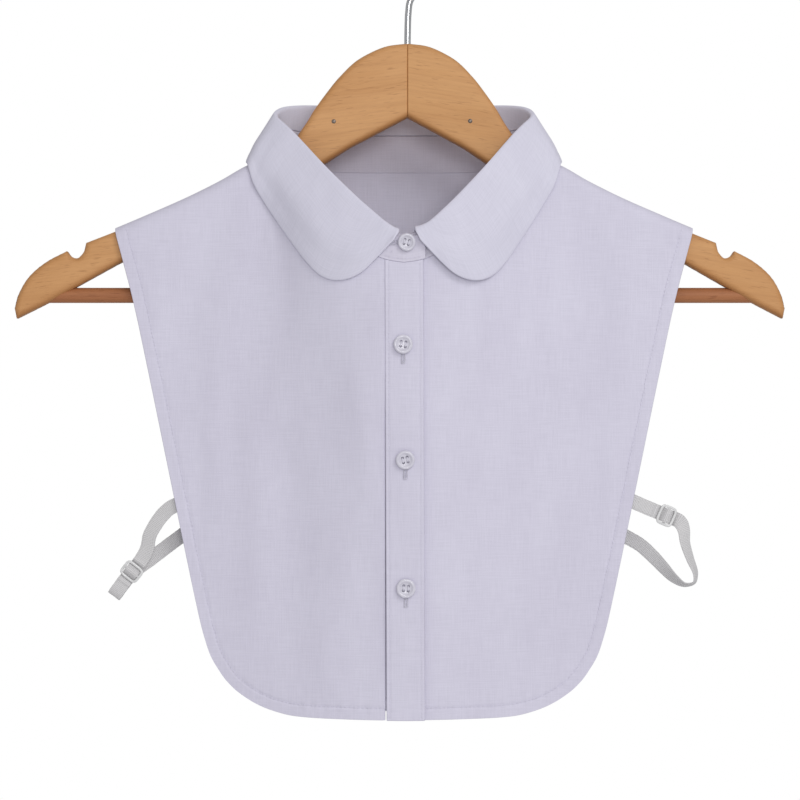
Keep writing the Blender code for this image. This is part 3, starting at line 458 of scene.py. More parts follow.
def mouldedFinish(name, colour, deeper, roughness):
    # moulded plastic: faint flow clouds, and fine scratches in its gloss
    made, nodes, links, shader = newFinish(name, colour, roughness)
    shader.inputs["Coat Weight"].default_value = 0.2
    cloud = noise(nodes, links, mapped(nodes, links, "object", (1.0, 1.0, 1.0)), 450.0, 3.0)
    links.new(ramp(nodes, links, cloud, [(0.35, deeper), (0.65, colour)]), shader.inputs["Base Color"])
    scratch = noise(nodes, links, mapped(nodes, links, "object", (1.0, 1.0, 12.0)), 2600.0, 2.0)
    links.new(combine(nodes, links, "MULTIPLY_ADD", scratch, 0.2, roughness - 0.08), shader.inputs["Roughness"])
    bumped(nodes, links, shader, cloud, 0.00005, 0.25)
    return made


def woodFinish(name, pale, warm, dark, turn=0.0):
    # Long grain: noise stretched far along the board gives the bands, a finer one the
    # fibres, a third the short dark pores, and the rim attribute paints shade on the edges.
    made, nodes, links, shader = newFinish(name, pale, 0.42)
    shader.inputs["Coat Weight"].default_value = 0.06
    shader.inputs["Coat Roughness"].default_value = 0.35
    shader.inputs["Specular IOR Level"].default_value = 0.28
    broad = noise(nodes, links, mapped(nodes, links, "object", (10.0, 1.0, 1.0), turn), 95.0, 4.0, 0.55)
    fibre = noise(nodes, links, mapped(nodes, links, "object", (25.0, 1.0, 1.0), turn), 900.0, 3.0, 0.6)
    pore = noise(nodes, links, mapped(nodes, links, "object", (14.0, 1.0, 1.0), turn), 1700.0, 1.0)
    cloud = noise(nodes, links, mapped(nodes, links, "object", (1.6, 1.0, 1.0), turn), 16.0, 2.0)
    banding = combine(nodes, links, "MULTIPLY_ADD", broad, 0.6, combine(nodes, links, "MULTIPLY", cloud, 0.4))
    colour = ramp(nodes, links, banding, [(0.34, warm), (0.5, pale), (0.66, warm)])
    fibreTint = ramp(nodes, links, fibre, [(0.3, (0.86, 0.82, 0.78)), (0.6, (1.0, 1.0, 1.0))])
    colour = blended(nodes, links, 0.7, colour, fibreTint, "MULTIPLY")
    poreTint = ramp(nodes, links, pore, [(0.28, (0.55, 0.46, 0.40)), (0.37, (1.0, 1.0, 1.0))])
    colour = blended(nodes, links, 0.5, colour, poreTint, "MULTIPLY")
    # painted shade: the rim attribute mixes the dark colour in along the edges
    edgeShade = nodes.new("ShaderNodeAttribute")
    edgeShade.attribute_name = "rim"
    links.new(blended(nodes, links, edgeShade.outputs["Fac"], colour, dark), shader.inputs["Base Color"])
    links.new(combine(nodes, links, "MULTIPLY_ADD", fibre, 0.2, 0.45), shader.inputs["Roughness"])
    bumped(nodes, links, shader, combine(nodes, links, "MULTIPLY_ADD", pore, 0.6, fibre), 0.0001, 0.25)
    return made


def metalFinish(name, dull, bright, roughness):
    # drawn wire: lines along it in its colour and its gloss
    made, nodes, links, shader = newFinish(name, bright, roughness, 1.0)
    lines = noise(nodes, links, mapped(nodes, links, "object", (1.0, 1.0, 7.0)), 1600.0, 2.0)
    links.new(combine(nodes, links, "MULTIPLY_ADD", lines, 0.16, roughness - 0.08), shader.inputs["Roughness"])
    links.new(ramp(nodes, links, lines, [(0.3, dull), (0.7, bright)]), shader.inputs["Base Color"])
    bumped(nodes, links, shader, lines, 0.00003, 0.3)
    return made


panelCotton = cottonFinish("panelCotton", (0.70, 0.678, 0.80), (0.665, 0.64, 0.762))
leafCotton = cottonFinish("leafCotton", (0.715, 0.70, 0.815), (0.688, 0.672, 0.788))
standCotton = cottonFinish("standCotton", (0.70, 0.672, 0.78), (0.665, 0.635, 0.745))
threadCotton = threadFinish()
elasticTape = elasticFinish()
buttonPlastic = mouldedFinish("buttonPlastic", (0.66, 0.645, 0.73), (0.59, 0.575, 0.66), 0.3)
sliderPlastic = mouldedFinish("sliderPlastic", (0.74, 0.74, 0.745), (0.67, 0.67, 0.675), 0.3)
# each wood's last colour is the painted shade that the rim attribute mixes in along the edges
woodLeft = woodFinish("hangerWoodLeft", (0.65, 0.345, 0.145), (0.585, 0.295, 0.115), (0.40, 0.17, 0.055), -0.12)
woodRight = woodFinish("hangerWoodRight", (0.64, 0.34, 0.140), (0.575, 0.29, 0.112), (0.40, 0.17, 0.055), 0.16)
# the bar's deep brown is partly its own darker wood and partly painted shade, its colours taken where it lies partly
# in shadow
barWood = woodFinish("barWood", (0.42, 0.17, 0.072), (0.35, 0.13, 0.054), (0.26, 0.09, 0.036))
hookChrome = metalFinish("hookChrome", (0.54, 0.55, 0.57), (0.68, 0.69, 0.71), 0.18)
pinSteel = metalFinish("pinSteel", (0.16, 0.13, 0.11), (0.27, 0.23, 0.20), 0.45)
print("finishes ready")


# The hanger

hanger = {
    "thickness": 12.0,
    "rounding": 3.2,
    "span": 222.5,
    "reach": {"left": 227.0, "right": 218.0},
    "jointGap": 0.02,  # half the width of the joint line between the two arms
    "jointRound": 0.8,
    "top": [
        (0.0, 0.0), (11.6, 1.6), (21.1, 5.4), (29.8, 10.7), (38.8, 19.6), (44.6, 26.9),
        (52.1, 37.4), (57.0, 45.6), (62.0, 53.0), (68.0, 63.0), (75.0, 70.2), (84.0, 75.0),
        (95.0, 78.6), (108.0, 83.4), (128.0, 92.5), (148.0, 101.6), (168.0, 109.7), (182.0, 115.2),
    ],
    "notch": [(182.0, 115.2), (183.4, 120.4), (186.8, 124.0), (190.6, 123.0), (193.0, 120.0)],
    "end": [(193.0, 120.0), (204.5, 126.2), (214.2, 134.6), (220.2, 144.7), (222.5, 153.0)],
    "lower": [
        (0.0, 42.5), (33.6, 60.5), (47.5, 69.8), (163.4, 126.9), (187.9, 140.7), (204.5, 150.2), (221.4, 158.8),
    ],
    "barDrop": 145.4,
    "barRadius": 4.4,
    "barEnd": 211.0,
    "pins": [(-42.5, 45.2), (36.2, 45.0)],  # x and drop of the small nails in the front
    "pinRadius": 1.25,
    "wireRadius": 1.9,
    "bendRadius": 19.0,
    "stemDepth": 22.0,
}


def hangerArm(side, finish):
    # Columns run from the upper outline straight down to the lower one. The face stands
    # half the thickness off the middle, less a quarter round near the outline, whose
    # depth comes from the distance to it; the rim value rises towards the same outline.
    sign = -1.0 if side == "left" else 1.0
    stretch = hanger["reach"][side] / hanger["span"]
    upper = np.vstack([
        byLength(hanger["top"], spans((0.0, 0.006, 6), (0.006, 1.0, 184))),
        byLength(hanger["notch"], np.linspace(0.0, 1.0, 22))[1:],
        byLength(hanger["end"], np.linspace(0.0, 1.0, 44))[1:],
    ])
    lowerRows = np.array(hanger["lower"])
    fineX = np.linspace(0.0, lowerRows[-1, 0], 700)
    lowerDrop = np.interp(fineX, lowerRows[:, 0], lowerRows[:, 1])
    # the corners of the lower edge are eased by a running mean over 8 mm
    lowerDrop[12:-12] = np.convolve(lowerDrop, np.ones(25) / 25.0, mode="valid")
    atX = upper[:, 0] * lowerRows[-1, 0] / hanger["span"]
    lower = np.stack([atX, np.interp(atX, fineX, lowerDrop)], axis=-1)
    t = spans((0.0, 0.09, 11), (0.09, 0.91, 16), (0.91, 1.0, 11))[:, None, None]
    outline = upper[None] * (1 - t) + lower[None] * t
    border = np.vstack([upper, lower[::-1]])
    run = runOf(border)
    dense = readLine(border, run, np.arange(0.0, run[-1], 0.4))
    flat = outline.reshape(-1, 2)
    away = np.linalg.norm(flat - dense[nearestOf(flat, dense)], axis=1).reshape(outline.shape[:2])
    rounding = hanger["rounding"]
    inside = np.clip(away / rounding, 0.0, 1.0)
    depth = hanger["thickness"] / 2 - rounding * (1.0 - np.sqrt(1.0 - (1.0 - inside) ** 2))
    beside = 1.0 - np.clip(outline[..., 0] / hanger["jointRound"], 0.0, 1.0)
    depth = depth - hanger["jointRound"] * (1.0 - np.sqrt(1.0 - beside**2)) * np.minimum(depth, 1.0)
    x = sign * np.maximum(outline[..., 0] * stretch, hanger["jointGap"])
    height = woodTop - outline[..., 1]
    face = np.stack([x, -depth, height], axis=-1)
    back = np.stack([x, depth, height], axis=-1)
    lowerHalf = smoothStep((t[..., 0] - 0.5) / 0.4)
    tip = smoothStep((outline[..., 0] - 188.0) / 30.0)
    # the rim value is painted shade: darker along the outline, most in the lower half, and darker towards the tip
    rim = bell(away, 2.6) * (0.22 + 0.55 * lowerHalf) + 0.16 * tip
    name = "hangerArm" + side.capitalize()
    wallPiece(name, face, back, outline, finish, "wood", "hanger_arm_" + side, 0.05, 40, rim)


def trouserBar():
    # a turned dowel along X whose ends stand in the arms
    left = -hanger["barEnd"] * hanger["reach"]["left"] / hanger["span"]
    right = hanger["barEnd"] * hanger["reach"]["right"] / hanger["span"]
    along = np.linspace(left + 3.0, right - 3.0, 90)
    path = np.stack([along, 0 * along, 0 * along + woodTop - hanger["barDrop"]], axis=-1)
    tubePiece("trouserBar", path, hanger["barRadius"], 48, barWood, "bar_wood", "trouser_bar")


def hangerHook():
    # a straight stem, a short bend out to the right, then most of a circle over to the left
    size = hanger["bendRadius"]
    stem = [(0.0, woodTop - hanger["stemDepth"]), (0.0, woodTop - 10.0), (0.1, woodTop + 6.0)]
    bend = [(0.6, -47.0), (1.8, -40.5), (6.2, -35.4)]
    turn = np.radians(np.arange(-48.0, 200.0, 14.0))
    loop = np.stack([size * np.cos(turn), hanger["wireRadius"] - size + size * np.sin(turn)], axis=-1)
    line = byLength(np.vstack([stem, bend, loop]), np.linspace(0.0, 1.0, 260))
    path = np.stack([line[:, 0], 0 * line[:, 0], line[:, 1]], axis=-1)
    tubePiece("hangerHook", path, hanger["wireRadius"], 32, hookChrome, "chrome", "hook")


def hangerPins():
    # low domed nail heads in the front of each arm
    size = hanger["pinRadius"]
    profile = [(0.1 * size, 0.45), (0.4 * size, 0.42), (0.75 * size, 0.34), (size, 0.1), (size, -0.8), (0.4, -1.0)]
    centres = [(x, -hanger["thickness"] / 2, woodTop - drop) for x, drop in hanger["pins"]]
    turnedRow("hangerPins", centres, profile, 24, pinSteel, "chrome")


hangerArm("left", woodLeft)
hangerArm("right", woodRight)
trouserBar()
hangerHook()
hangerPins()
print("hanger done")


# The collar's own form, from the same table of sections as the CAD source

collar = {
    # seamX, seamY, seamDrop, rollX, rollY, rollDrop, edgeX, edgeY, edgeDrop, leg, bow
    "sections": [
        (0.0, 36.0, 71.6, 0.0, 33.0, 32.2, 0.0, 43.5, 77.0, 17.8, 1.5),
        (22.0, 35.6, 71.6, 22.0, 32.6, 32.2, 25.0, 43.2, 77.0, 17.8, 1.5),
        (42.0, 33.8, 71.3, 43.0, 30.6, 32.3, 50.0, 40.6, 76.5, 17.4, 1.5),
        (62.0, 25.5, 70.2, 60.5, 22.6, 33.0, 73.5, 31.0, 75.0, 15.5, 1.5),
        (74.5, 12.0, 68.5, 70.3, 11.5, 35.6, 87.0, 16.5, 71.5, 12.0, 1.5),
        (79.5, 0.0, 67.0, 73.0, 0.8, 40.6, 91.2, 2.0, 68.3, 8.0, 1.5),
        (78.1, -9.3, 70.6, 66.5, -5.5, 47.4, 87.0, None, 80.5, 7.0, 2.2),
        (71.0, -16.0, 80.5, 58.0, -11.5, 57.2, 81.0, None, 91.5, 6.4, 3.2),
        (62.0, -22.0, 89.5, 49.3, -18.0, 67.6, 73.5, None, 103.2, 5.6, 4.2),
        (53.0, -27.0, 98.0, 40.3, -24.0, 77.8, 65.2, None, 115.4, 4.8, 4.8),
        (44.0, -31.0, 106.0, 31.8, -29.0, 87.0, 57.2, None, 126.6, 4.2, 4.4),
        (35.5, -33.8, 113.0, 24.3, -32.6, 94.7, 48.5, None, 135.2, 3.6, 3.4),
        (27.0, -35.6, 118.8, 17.6, -35.0, 100.7, 38.5, None, 138.0, 3.3, 2.4),
        (19.5, -36.8, 123.0, 12.0, -36.8, 105.2, 27.6, None, 134.8, 3.6, 1.5),
        (13.0, -37.4, 125.8, 7.6, -37.6, 107.9, 17.0, None, 125.6, 3.6, 0.9),
        (8.0, -37.6, 127.3, 4.5, -38.0, 109.3, 7.6, -42.4, 115.6, 3.6, 0.2),
    ],
    "neckFront": (0.0, -37.7, 128.5),
    "curlEdge": (5.5, (89.9, -8.0, 70.7)),
    "side": 5,
    "overEnd": -19.0,
    "underEnd": 18.6,
    "standLift": 0.4,
    "underStep": 2.2,
    "underRise": 1.4,
    "leafLift": 0.75,
    "leafBend": 1.5,
    "leafSkew": 1.7,
    "endCorner": 3.0,
}
body = {
    "shoulder": [(90.4, 69.9), (106.6, 79.0), (126.3, 88.8), (150.7, 99.5), (167.0, 106.4)],
    "sideEdge": [
        (167.0, 106.4), (156.0, 148.3), (147.0, 190.0), (136.6, 240.5), (125.6, 294.0), (117.6, 331.5),
        (114.6, 343.0), (110.8, 354.0), (105.2, 363.3), (103.6, 365.5),
    ],
    "hemEdge": [
        (103.6, 365.5), (101.9, 367.6), (96.0, 373.3), (86.0, 379.8), (75.0, 384.2), (62.0, 387.0), (34.0, 388.2),
        (0.0, 388.5),
    ],
    "hemDrop": 388.5,
    "shoulderDepth": 9.0,
    "curlPower": 2.6,
    "hemDepth": {"front": 26.0, "back": 22.0},
    "sideHemDepth": 10.5,
    "neckShare": {"front": 0.53, "back": 0.46},
    "seamGap": 0.3,
    "placketHalf": 10.6,
    "placketProud": 0.6,
    "placketDrift": 1.0,
    "underlap": 9.4,
    "underPlacket": 1.8,
}
lastSection = len(collar["sections"]) - 1
lapSection = lastSection + 1.6
sectionKnots = np.arange(lastSection + 1, dtype=float)
tableColumns = list(zip(*collar["sections"]))
seamRows = np.vstack([np.array(tableColumns[0:3]).T, collar["neckFront"]])
rollRows = np.array(tableColumns[3:6]).T


def mirroredCurve(knots, rows, where):
    # a curve through the rows and their mirror image, smooth at the centre back
    flipped = rows[:0:-1].copy()
    flipped[:, 0] *= -1
    whole = np.concatenate([-np.asarray(knots)[:0:-1], knots])
    return through(whole, np.vstack([flipped, rows]), where)


def neckSeam(where):
    # the neck seam, folded back on to the other side's sections past the centre front
    where = np.asarray(where, dtype=float)
    past = np.abs(where) > lapSection
    folded = np.where(past, np.sign(where) * (2 * lapSection - np.abs(where)), where)
    points = mirroredCurve(np.append(sectionKnots, lapSection), seamRows, folded)
    points[..., 0] *= np.where(past, -1.0, 1.0)
    return points


def topEdge(face, across):
    # the upper edge of one half: the neck curve up to its share, then the shoulder seam
    share = body["neckShare"][face]
    side = collar["side"]
    alongNeck = np.clip(across / share, 0.0, 1.0)
    alongShoulder = np.clip((across - share) / (1.0 - share), 0.0, 1.0)
    neck = neckSeam(lapSection + (side - lapSection) * alongNeck if face == "front" else side * alongNeck)
    shoulder = byLength([(seamRows[side][0], seamRows[side][2])] + body["shoulder"], alongShoulder)
    ridge = np.stack([shoulder[..., 0], np.zeros_like(across), shoulder[..., 1]], axis=-1)
    return np.where((across <= share)[..., None], neck, ridge)


def panel(face, across, down):
    # One half of the front or back. The outline is blended inwards from its four edges and
    # the depth likewise; over the arm the depth follows a squarish quarter round.
    sign = -1.0 if face == "front" else 1.0
    hemDepth, shoulderDepth = body["hemDepth"][face], body["shoulderDepth"]
    sideDepth, hemDrop = body["sideHemDepth"], body["hemDrop"]
    top = topEdge(face, across)
    first = topEdge(face, np.zeros_like(across))
    last = topEdge(face, np.ones_like(across))
    outline = (1 - down)[..., None] * top[..., [0, 2]] + down[..., None] * byLength(body["hemEdge"][::-1], across)
    middle = np.stack([np.zeros_like(down), first[..., 2] + (hemDrop - first[..., 2]) * down], axis=-1)
    cornersFirst = (1 - down)[..., None] * first[..., [0, 2]] + down[..., None] * np.array(body["hemEdge"][-1])
    cornersLast = (1 - down)[..., None] * last[..., [0, 2]] + down[..., None] * np.array(body["hemEdge"][0])
    outline = outline + (1 - across)[..., None] * (middle - cornersFirst)
    outline = outline + across[..., None] * (byLength(body["sideEdge"], down) - cornersLast)
    even = smoothStep(across)
    standOff = np.maximum(sign * top[..., 1], shoulderDepth)
    neckDepth = sign * first[..., 1]
    centre = neckDepth + (hemDepth - neckDepth) * (0.35 * down + 0.65 * smoothStep(down))
    along = shoulderDepth + (sideDepth - shoulderDepth) * down
    depth = (1 - down) * standOff + down * (hemDepth + (sideDepth - hemDepth) * even)
    depth = depth + (1 - even) * (centre - (1 - down) * neckDepth - down * hemDepth)
    depth = depth + even * (along - (1 - down) * shoulderDepth - down * sideDepth)
    fall = np.clip((outline[..., 1] - top[..., 2]) / shoulderDepth, 0.0, 1.0)
    curl = (1.0 - (1.0 - fall) ** body["curlPower"]) ** (1.0 / body["curlPower"])
    depth = depth - (standOff - sign * top[..., 1]) * (1.0 - curl)
    return np.stack([outline[..., 0], sign * np.maximum(depth, body["seamGap"] / 2), outline[..., 1]], axis=-1)


def panelSigned(face, across, down):
    # the same surface, with its mirrored half where across is negative
    points = panel(face, np.abs(across), down)
    points[..., 0] *= np.where(across < 0, -1.0, 1.0)
    return points


def acrossAt(face, reach, down):
    # where each row of a panel reaches a distance from the centre line
    fine = np.linspace(0.0, 0.6, 241)
    grid = panel(face, fine[None] + 0 * down[:, None], down[:, None] + 0 * fine[None])[..., 0]
    return np.array([np.interp(reach, line, fine) for line in grid])


# The panels of cloth

hem = {
    "wall": 0.6,  # thickness of one layer of cloth
    "width": 6.6,  # of the turned hem along armhole and bottom
    "fold": 0.5,  # the hem's second layer, on the inside
    "ridge": 0.18,  # how far the hem stands proud outside
    "dip": 0.45,  # depth of the stitched line
    "pucker": 0.18,
    "puckerLength": 7.3,
    "stitch": 1.9,
    "pitch": 2.5,
    "thread": 0.17,
}
# Creases are rows of: x, drop, x, drop, width, rise. Negative x is at the image's left.
creases = {
    "frontRight": [
        (-84.0, 96.0, -112.0, 175.0, 13.0, 0.9),
        (-108.0, 90.0, -128.0, 200.0, 11.0, -0.8),
        (-104.0, 168.0, -110.0, 262.0, 9.0, 0.8),
        (-82.0, 215.0, -88.0, 330.0, 10.0, 1.0),
        (-66.0, 232.0, -62.0, 345.0, 12.0, -1.0),
        (-37.0, 150.0, -44.0, 262.0, 11.0, -0.7),
        (-23.0, 190.0, -22.0, 262.0, 7.0, 0.7),
        (-17.0, 285.0, -20.0, 372.0, 10.0, -0.9),
        (-46.0, 330.0, -40.0, 378.0, 9.0, 0.8),
        (-91.5, 180.0, -86.5, 186.0, 1.6, -0.3),
        (-120.0, 225.0, -116.0, 300.0, 7.0, -0.7),
        (-60.0, 150.0, -70.0, 215.0, 9.0, 0.6),
    ],
    "frontLeft": [
        (98.0, 88.0, 112.0, 172.0, 10.0, -1.0),
        (86.0, 104.0, 92.0, 215.0, 10.0, 0.9),
        (118.0, 96.0, 128.0, 190.0, 8.0, 0.8),
        (104.0, 190.0, 108.0, 290.0, 9.0, -0.7),
        (66.0, 140.0, 74.0, 250.0, 12.0, 0.8),
        (47.0, 300.0, 40.0, 372.0, 14.0, -1.1),
        (82.0, 250.0, 76.0, 356.0, 11.0, 0.9),
        (30.0, 150.0, 35.0, 270.0, 9.0, -0.5),
        (58.0, 200.0, 56.0, 290.0, 9.0, -0.7),
        (27.0, 290.0, 28.0, 340.0, 8.0, 0.5),
        (122.0, 200.0, 117.0, 290.0, 6.0, 0.6),
    ],
    "back": [
        (-88.0, 96.0, -106.0, 190.0, 12.0, 0.9),
        (-52.0, 110.0, -60.0, 230.0, 12.0, -0.8),
        (-20.0, 130.0, -26.0, 262.0, 14.0, 0.8),
        (24.0, 120.0, 20.0, 230.0, 12.0, -0.7),
        (58.0, 104.0, 70.0, 215.0, 12.0, 0.8),
        (96.0, 92.0, 110.0, 190.0, 10.0, -0.8),
        (-84.0, 226.0, -76.0, 350.0, 11.0, -0.8),
        (-30.0, 270.0, -34.0, 370.0, 12.0, -0.7),
        (14.0, 250.0, 10.0, 366.0, 13.0, 0.8),
        (62.0, 240.0, 56.0, 350.0, 11.0, -0.7),
        (100.0, 210.0, 94.0, 320.0, 9.0, 0.8),
        (-112.0, 210.0, -104.0, 320.0, 8.0, 0.6),
    ],
}
downRows = spans((0.0, 0.012, 6), (0.012, 0.045, 9), (0.045, 0.955, 120), (0.955, 1.0, 20))
# the free edge of one half, armhole and then bottom, and the line of the leaf's edge
freeEdge = np.vstack([
    byLength(body["sideEdge"], np.linspace(0.0, 1.0, 700)),
    byLength(body["hemEdge"], np.linspace(0.0, 1.0, 300))[1:],
])
leafLine = [(row[6], row[8]) for row in collar["sections"][5:]] + [(0.0, 112.0)]
leafLine = byLength(leafLine, np.linspace(0.0, 1.0, 240))


def acrossColumns(face, start):
    # column positions of a half, closer together near the neck point and along the armhole
    share = body["neckShare"][face]
    inner = 1.0 - (1.0 - np.linspace(0.0, 1.0, 60)) ** 1.5
    outer = 1.0 - (1.0 - np.linspace(0.0, 1.0, 44)[1:]) ** 1.6
    inner = inner[None] * (share - start[:, None]) + start[:, None]
    return np.concatenate([inner, share + (1.0 - share) * outer[None] + 0 * start[:, None]], axis=1)


def easedDepth(face, x, depth, down):
    # The panel bends sharply along the column under the neck point. Near it the depth is
    # its own mean along the row, weighted by a bell that widens downwards.
    bend = panel(face, body["neckShare"][face] + 0 * down, down)[:, :1, 0]
    width = 5.0 + 22.0 * smoothStep(down[:, :1] / 0.4)
    weight = bell(x[:, :, None] - x[:, None], width[:, :, None]) * np.abs(np.gradient(x, axis=1))[:, None]
    mean = (weight * depth[:, None]).sum(axis=2) / weight.sum(axis=2)
    share = bell(np.abs(x) - bend, 2.0 * width) * smoothStep((down - 0.004) / 0.03)
    return depth + share * (mean - depth)


def clothPanel(name, node, face, across, rows, phase, sink=0.0):
    # The CAD panel's outer face moved along its normal by the creases and by the hem's
    # relief: a low plateau, a dip along the stitching, and a sine of puckers beside it.
    # The inner face lies one wall inside, and further in the hem, where cloth is doubled.
    down = downRows[:, None] + 0 * across
    grid = panelSigned(face, across, down)
    # under the neck point no column may double back over the one before it
    facing = np.sign(grid[0, -1, 0] - grid[0, 0, 0])
    least = 0.03 * np.arange(grid.shape[1])
    grid[..., 0] = facing * (np.maximum.accumulate(facing * grid[..., 0] - least, axis=1) + least)
    grid[..., 1] = easedDepth(face, grid[..., 0], grid[..., 1], down)
    if sink:
        grid[..., 1] += sink * (1.0 - smoothStep((grid[..., 0] - 24.0) / 40.0))
    placed = toWorld(grid)
    outwards = -1.0 if face == "front" else 1.0
    normals = gridNormals(placed)
    normals = normals * np.sign((normals[..., 1] * outwards).sum())
    x, drop = grid[..., 0], grid[..., 2]
    places = np.stack([np.abs(x), drop], axis=-1).reshape(-1, 2)
    nearest = nearestOf(places, freeEdge)
    edge = np.linalg.norm(places - freeEdge[nearest], axis=1).reshape(x.shape)
    run = runOf(freeEdge)[nearest].reshape(x.shape)
    leafGap = np.linalg.norm(places - leafLine[nearestOf(places, leafLine)], axis=1).reshape(x.shape)
    below = drop > np.interp(np.abs(x), leafLine[::-1, 0], leafLine[::-1, 1])
    lift = creaseField(rows, x, drop) * smoothStep((leafGap - 1.0) / 10.0) * below * smoothStep(down / 0.1)
    lift = lift * (0.3 + 0.7 * smoothStep(edge / 16.0))
    wave = np.sin(2 * math.pi * run / hem["puckerLength"] + phase + 1.7 * np.sin(run / 23.0))
    relief = hem["ridge"] * smoothStep((hem["width"] + 0.6 - edge) / 1.2)
    relief = relief - hem["dip"] * bell(edge - hem["width"], 0.75)
    relief = relief + hem["pucker"] * wave * bell(edge - hem["width"], 3.2)
    outer = placed + normals * (lift + relief * smoothStep(down / 0.03))[..., None]
    doubled = hem["fold"] * smoothStep((hem["width"] + 0.7 - edge) / 0.5)
    inner = outer - normals * (hem["wall"] + doubled)[..., None]
    inner[..., 1] = outwards * np.maximum(outwards * inner[..., 1], 0.08)
    outer[..., 1] = outwards * np.maximum(outwards * outer[..., 1], 0.15)
    piece = wallPiece(name, outer, inner, np.stack([x, drop], axis=-1), panelCotton, "cotton", node)
    return piece, {"outer": outer, "inner": inner, "normals": normals, "x": x, "drop": drop}


def hemStitching(name, made, sides):
    # Stitches a hem's width inside the free edge, on the outer and on the inner face; the
    # place on the cloth is the mean of its four nearest points there, weighted by nearness.
    way = unit(np.gradient(freeEdge, axis=0))
    inwards = np.stack([way[:, 1], -way[:, 0]], axis=-1)
    inwards = inwards * np.sign(((np.array([40.0, 240.0]) - freeEdge) * inwards).sum(axis=1, keepdims=True))
    target = (freeEdge + inwards * hem["width"])[6::3]
    target = target[target[:, 0] > 0.5]
    groups = []
    for side in sides:
        flat = np.stack([made["x"] * side, made["drop"]], axis=-1).reshape(-1, 2)
        near = flat[:, 0] > -5.0
        gaps = np.linalg.norm(target[:, None] - flat[near][None], axis=2)
        few = np.argpartition(gaps, 4, axis=1)[:, :4]
        weight = 1.0 / (np.take_along_axis(gaps, few, axis=1) ** 2 + 0.05)
        weight = (weight / weight.sum(axis=1, keepdims=True))[..., None]
        normals = unit((made["normals"].reshape(-1, 3)[near][few] * weight).sum(axis=1))
        for grid, facing in (("outer", 1.0), ("inner", -1.0)):
            line = (made[grid].reshape(-1, 3)[near][few] * weight).sum(axis=1)
            groups.append(stitchesOn(line, normals * facing, hem["pitch"], hem["stitch"], 0.1))
    threadRow(name, gathered(groups), hem["thread"], threadCotton, "cotton")


def allPanels():
    start = acrossAt("front", body["placketHalf"] + body["seamGap"], downRows)
    right = clothPanel(
        "frontRight", "front_right", "front", -acrossColumns("front", start), creases["frontRight"], 0.4,
    )
    start = -acrossAt("front", body["underlap"], downRows)
    left = clothPanel(
        "frontLeft", "front_left", "front", acrossColumns("front", start), creases["frontLeft"], 2.1,
        body["underPlacket"])
    half = acrossColumns("back", 0 * downRows)
    whole = np.concatenate([-half[:, :0:-1], half], axis=1)
    back = clothPanel("backPanel", "back_panel", "back", whole, creases["back"], 1.2)
    hemStitching("frontRightStitches", right[1], [-1.0])
    hemStitching("frontLeftStitches", left[1], [1.0])
    hemStitching("backStitches", back[1], [-1.0, 1.0])
    return right, left, back


(frontRight, rightMade), (frontLeft, leftMade), (backPanel, backMade) = allPanels()
print("panels done")


# The placket and its buttons

placket = {
    "wall": 1.5,
    "topstitch": 1.7,  # inside each edge
    "dip": 0.2,
    # drop, rise, width and slope of the level creases across it
    "creases": [
        (229.7, -0.35, 1.4, 0.05), (277.2, -0.3, 1.2, -0.06), (302.7, -0.35, 1.5, 0.04), (351.9, -0.3, 1.2, -0.03),
    ],
    "puckerLength": 6.1,
}
buttons = {
    # x from the collar's middle, drop, and the turn of the holes in degrees
    "rows": [(-0.5, 174.5, 8.0), (0.7, 239.9, -12.0), (1.1, 313.0, 5.0)],
    "collar": (1.5, 116.9, 14.0),
    "collarFace": -38.8,
    "seat": 0.35,
    "lean": [3.0, -2.0, 2.5, -1.5],  # how far each one tips, in degrees
    "size": [0.92, 1.0, 0.99, 1.01],
    "profile": [
        (0.3, 1.35), (1.6, 1.36), (2.6, 1.42), (3.2, 1.55), (3.55, 1.85), (3.95, 2.12), (4.4, 2.2), (4.85, 2.14),
        (5.2, 1.95), (5.42, 1.65), (5.5, 1.3), (5.46, 0.95), (5.2, 0.6), (4.6, 0.25), (3.8, 0.05), (0.3, 0.0),
    ],
    "hole": 0.82,
    "spread": 1.35,
    "slit": 12.0,  # length of a buttonhole
}


